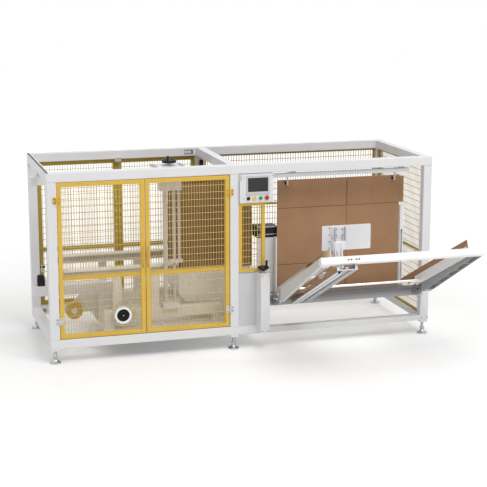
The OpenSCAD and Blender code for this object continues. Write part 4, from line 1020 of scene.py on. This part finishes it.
# Slim rollers on the pins of the top stops
stop_low, stop_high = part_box("blank_top_rollers")
stop_z = (stop_low[2] + stop_high[2]) / 2
CAD_ROLLER_R = (stop_high[2] - stop_low[2]) / 2
long = stop_high[1] - stop_low[1]
ROLLER_R = 15 * MM
ROLLER_WAIST = 13 * MM
ROLLER_BORE = 5.1 * MM
roller = [(ROLLER_BORE, 0), (ROLLER_R, 0), (ROLLER_R, 5 * MM), (ROLLER_WAIST, 7 * MM),
          (ROLLER_WAIST, long - 7 * MM), (ROLLER_R, long - 5 * MM), (ROLLER_R, long), (ROLLER_BORE, long)]
rollers = []
for x in (stop_low[0] + CAD_ROLLER_R, stop_high[0] - CAD_ROLLER_R):
    rollers.append(turned_ring(roller, (x, stop_low[1], stop_z), BACK, 32))
piece("stop_rollers", join(rollers), BLACK, replaced=("blank_top_rollers",))

# White rim of the reach hole in the left front door
hole_u, hole_z, hole_r = REACH_HOLE
rim = in_mm([(-13, -4), (4, -4), (5, -3), (5, 4), (2, 6), (-6, 7), (-12, 5), (-14, -3)])
rim_spot = (BAY_LEFT + DOOR_GAP + hole_u, -HALF + MESH_SET + 2 * WIRE_R, Z_BASE + DOOR_GAP + hole_z)
# The rim takes the paler white copy: painted light
piece("reach_hole_rim", turned_ring(rim + [hole_r, 0], rim_spot, FRONT, 64), LIT_WHITE, "front_left_door")

# White scale disc around the dial wheel
dial_low, dial_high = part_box("dial_wheel")
dial_x = (dial_low[0] + dial_high[0]) / 2
DIAL_Z = 353.75 * MM
DISC_Y = 143.5 * MM
disc = in_mm([(9, 0), (83, 0), (83, 1.5), (82, 2), (10, 2)])
# The disc takes the paler white copy: painted light
piece("dial_scale_disc", turned_ring(disc, (dial_x, DISC_Y, DIAL_Z), FRONT, 64), LIT_WHITE)

# Bent sensor bracket at the front belt's outfeed end
belt_low, belt_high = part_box("side_belt_units")
strap_y = belt_low[1] + 40 * MM
strap_z = belt_high[2]
STRAP_END = -60 * MM
STRAP_W = 22 * MM
STRAP_T = 6 * MM
strap_start = (STRAP_END, strap_y, strap_z)
strap = [chamfer_box(strap_start, (belt_low[0] + 60 * MM, strap_y + STRAP_W, strap_z + STRAP_T), MM),
         box_from(strap_start, (0, 0, 0), (6, 22, 62), 1)]
piece("sensor_strap", join(strap), STEEL)
sensor = in_mm([(0, 0), (8, 0), (9, 1), (9, 44), (7, 46), (0, 46)])
sensor_spot = (STRAP_END - 12 * MM, strap_y + STRAP_W / 2, strap_z + 44 * MM)
piece("sensor_barrel", lathe(sensor, sensor_spot, RIGHT, 24), BLACK)

# Rear latch, safety switch and cable ring
LATCH_X = 780 * MM
CABLE_X = 71 * MM
latch = box_from((LATCH_X, rear_face, Z_TOP), (0, -14, -26), (60, 0, 20), 3)
piece("rear_latch", latch, STEEL)
switch = box_from((MID_X, rear_face, Z_TOP), (-16, -34, -130), (16, 0, -40), 4)
piece("door_switch", switch, BLACK)
ring = in_mm([(10, 0), (17, 0), (17, 4), (14, 6), (10, 4)])
cable_ring = turned_ring(ring, (CABLE_X, rear_face, Z_FRAME + HALF), FRONT, 24)
piece("cable_ring", cable_ring, BLACK)


# Stage: floor, light and camera

def combined(tree, operation, first, second):
    """Two values put together by one step of arithmetic."""
    node = tree.nodes.new("ShaderNodeMath")
    node.operation = operation
    tree.links.new(first, node.inputs[0])
    tree.links.new(second, node.inputs[1])
    return node.outputs[0]


def seen_rays(tree):
    """One for rays from the camera, in reflections or through clear pieces, and nought for the others."""
    path = tree.nodes.new("ShaderNodeLightPath")
    value = path.outputs["Is Camera Ray"]
    for kind in ("Is Glossy Ray", "Is Transmission Ray"):
        value = combined(tree, "MAXIMUM", value, path.outputs[kind])
    return value


def distance_from(tree, vector, place):
    """How far a point lies from a place."""
    node = tree.nodes.new("ShaderNodeVectorMath")
    node.operation = "DISTANCE"
    node.inputs[1].default_value = place
    tree.links.new(vector, node.inputs[0])
    return node.outputs["Value"]


def floor_finish():
    """A pale floor that glows a little for seen rays, more towards the sky far out, and with a painted pool
    of light in an oval under the magazine.
    """
    oval_flat = 0.62
    oval_x = 2.4
    oval_y = 0.6
    mat, tree, main = shader("pale_floor")
    point = tree.nodes.new("ShaderNodeTexCoord").outputs["Object"]
    away = distance_from(tree, point, (FRAME_LEN / 2, 0.3, 0))
    fade = ranged(tree, away, 2.0, 8.0, 0.06, 0.36)
    flatten = tree.nodes.new("ShaderNodeVectorMath")
    flatten.operation = "MULTIPLY"
    flatten.inputs[1].default_value = (oval_flat, 1, 1)
    tree.links.new(point, flatten.inputs[0])
    bay = distance_from(tree, flatten.outputs["Vector"], (oval_flat * oval_x, oval_y, 0))
    # Painted light: a pool of glow in the oval under the magazine, which lifts the shadow there
    lift = ranged(tree, bay, 0.5, 1.15, 0.23, 0.0)
    glow = combined(tree, "ADD", fade, lift)
    glow = combined(tree, "MULTIPLY", seen_rays(tree), glow)
    tree.links.new(glow, main.inputs["Emission Strength"])
    main.inputs["Emission Color"].default_value = (1, 1, 1, 1)
    main.inputs["Base Color"].default_value = (0.9, 0.9, 0.9, 1)
    main.inputs["Roughness"].default_value = 0.9
    return mat


def stage():
    """A pale floor with a soft shadow, an even white sky, a broad lamp and a wide soft sun."""
    mesh = bpy.data.meshes.new("floor")
    corner = 30.0
    mesh.from_pydata([(-corner, -corner, 0), (corner, -corner, 0), (corner, corner, 0), (-corner, corner, 0)],
                     [], [(0, 1, 2, 3)])
    floor = bpy.data.objects.new("floor", mesh)
    bpy.context.scene.collection.objects.link(floor)
    mesh.materials.append(floor_finish())

    world = bpy.data.worlds.new("sky")
    bpy.context.scene.world = world
    world.use_nodes = True
    tree = world.node_tree
    light = tree.nodes["Background"]
    seen = tree.nodes.new("ShaderNodeBackground")
    for background, strength in ((light, 0.47), (seen, 1.0)):
        background.inputs["Color"].default_value = (1, 1, 1, 1)
        background.inputs["Strength"].default_value = strength
    blend = tree.nodes.new("ShaderNodeMixShader")
    tree.links.new(seen_rays(tree), blend.inputs["Fac"])
    tree.links.new(light.outputs[0], blend.inputs[1])
    tree.links.new(seen.outputs[0], blend.inputs[2])
    tree.links.new(blend.outputs[0], tree.nodes["World Output"].inputs["Surface"])

    key = bpy.data.lights.new("key", "AREA")
    key.size = 5.0
    key.energy = 370.0
    sun = bpy.data.lights.new("top", "SUN")
    sun.energy = 0.95
    sun.angle = 1.2
    for lamp, place in ((key, (3.5, -5.5, 8.5)), (sun, (1.2, -1.2, 9.0))):
        obj = bpy.data.objects.new(lamp.name, lamp)
        bpy.context.scene.collection.objects.link(obj)
        obj.location = place
        aim(obj, (1.7, 0.4, 0.8))


def aim(obj, target):
    """Turns an object so that its -Z axis points at a target."""
    obj.rotation_euler = (Vector(target) - obj.location).to_track_quat("-Z", "Y").to_euler()


def camera():
    """The photograph's viewpoint: a long lens from the left of the front, a little above."""
    data = bpy.data.cameras.new("view")
    data.lens = 99.46
    data.sensor_width = 36.0
    data.clip_end = 200.0
    obj = bpy.data.objects.new("view", data)
    bpy.context.scene.collection.objects.link(obj)
    obj.location = (-1.582, -11.314, 3.485)
    aim(obj, (1.8866, 0.5931, 0.8357))
    bpy.context.scene.camera = obj


stage()
camera()
bpy.context.scene.view_settings.view_transform = "Standard"
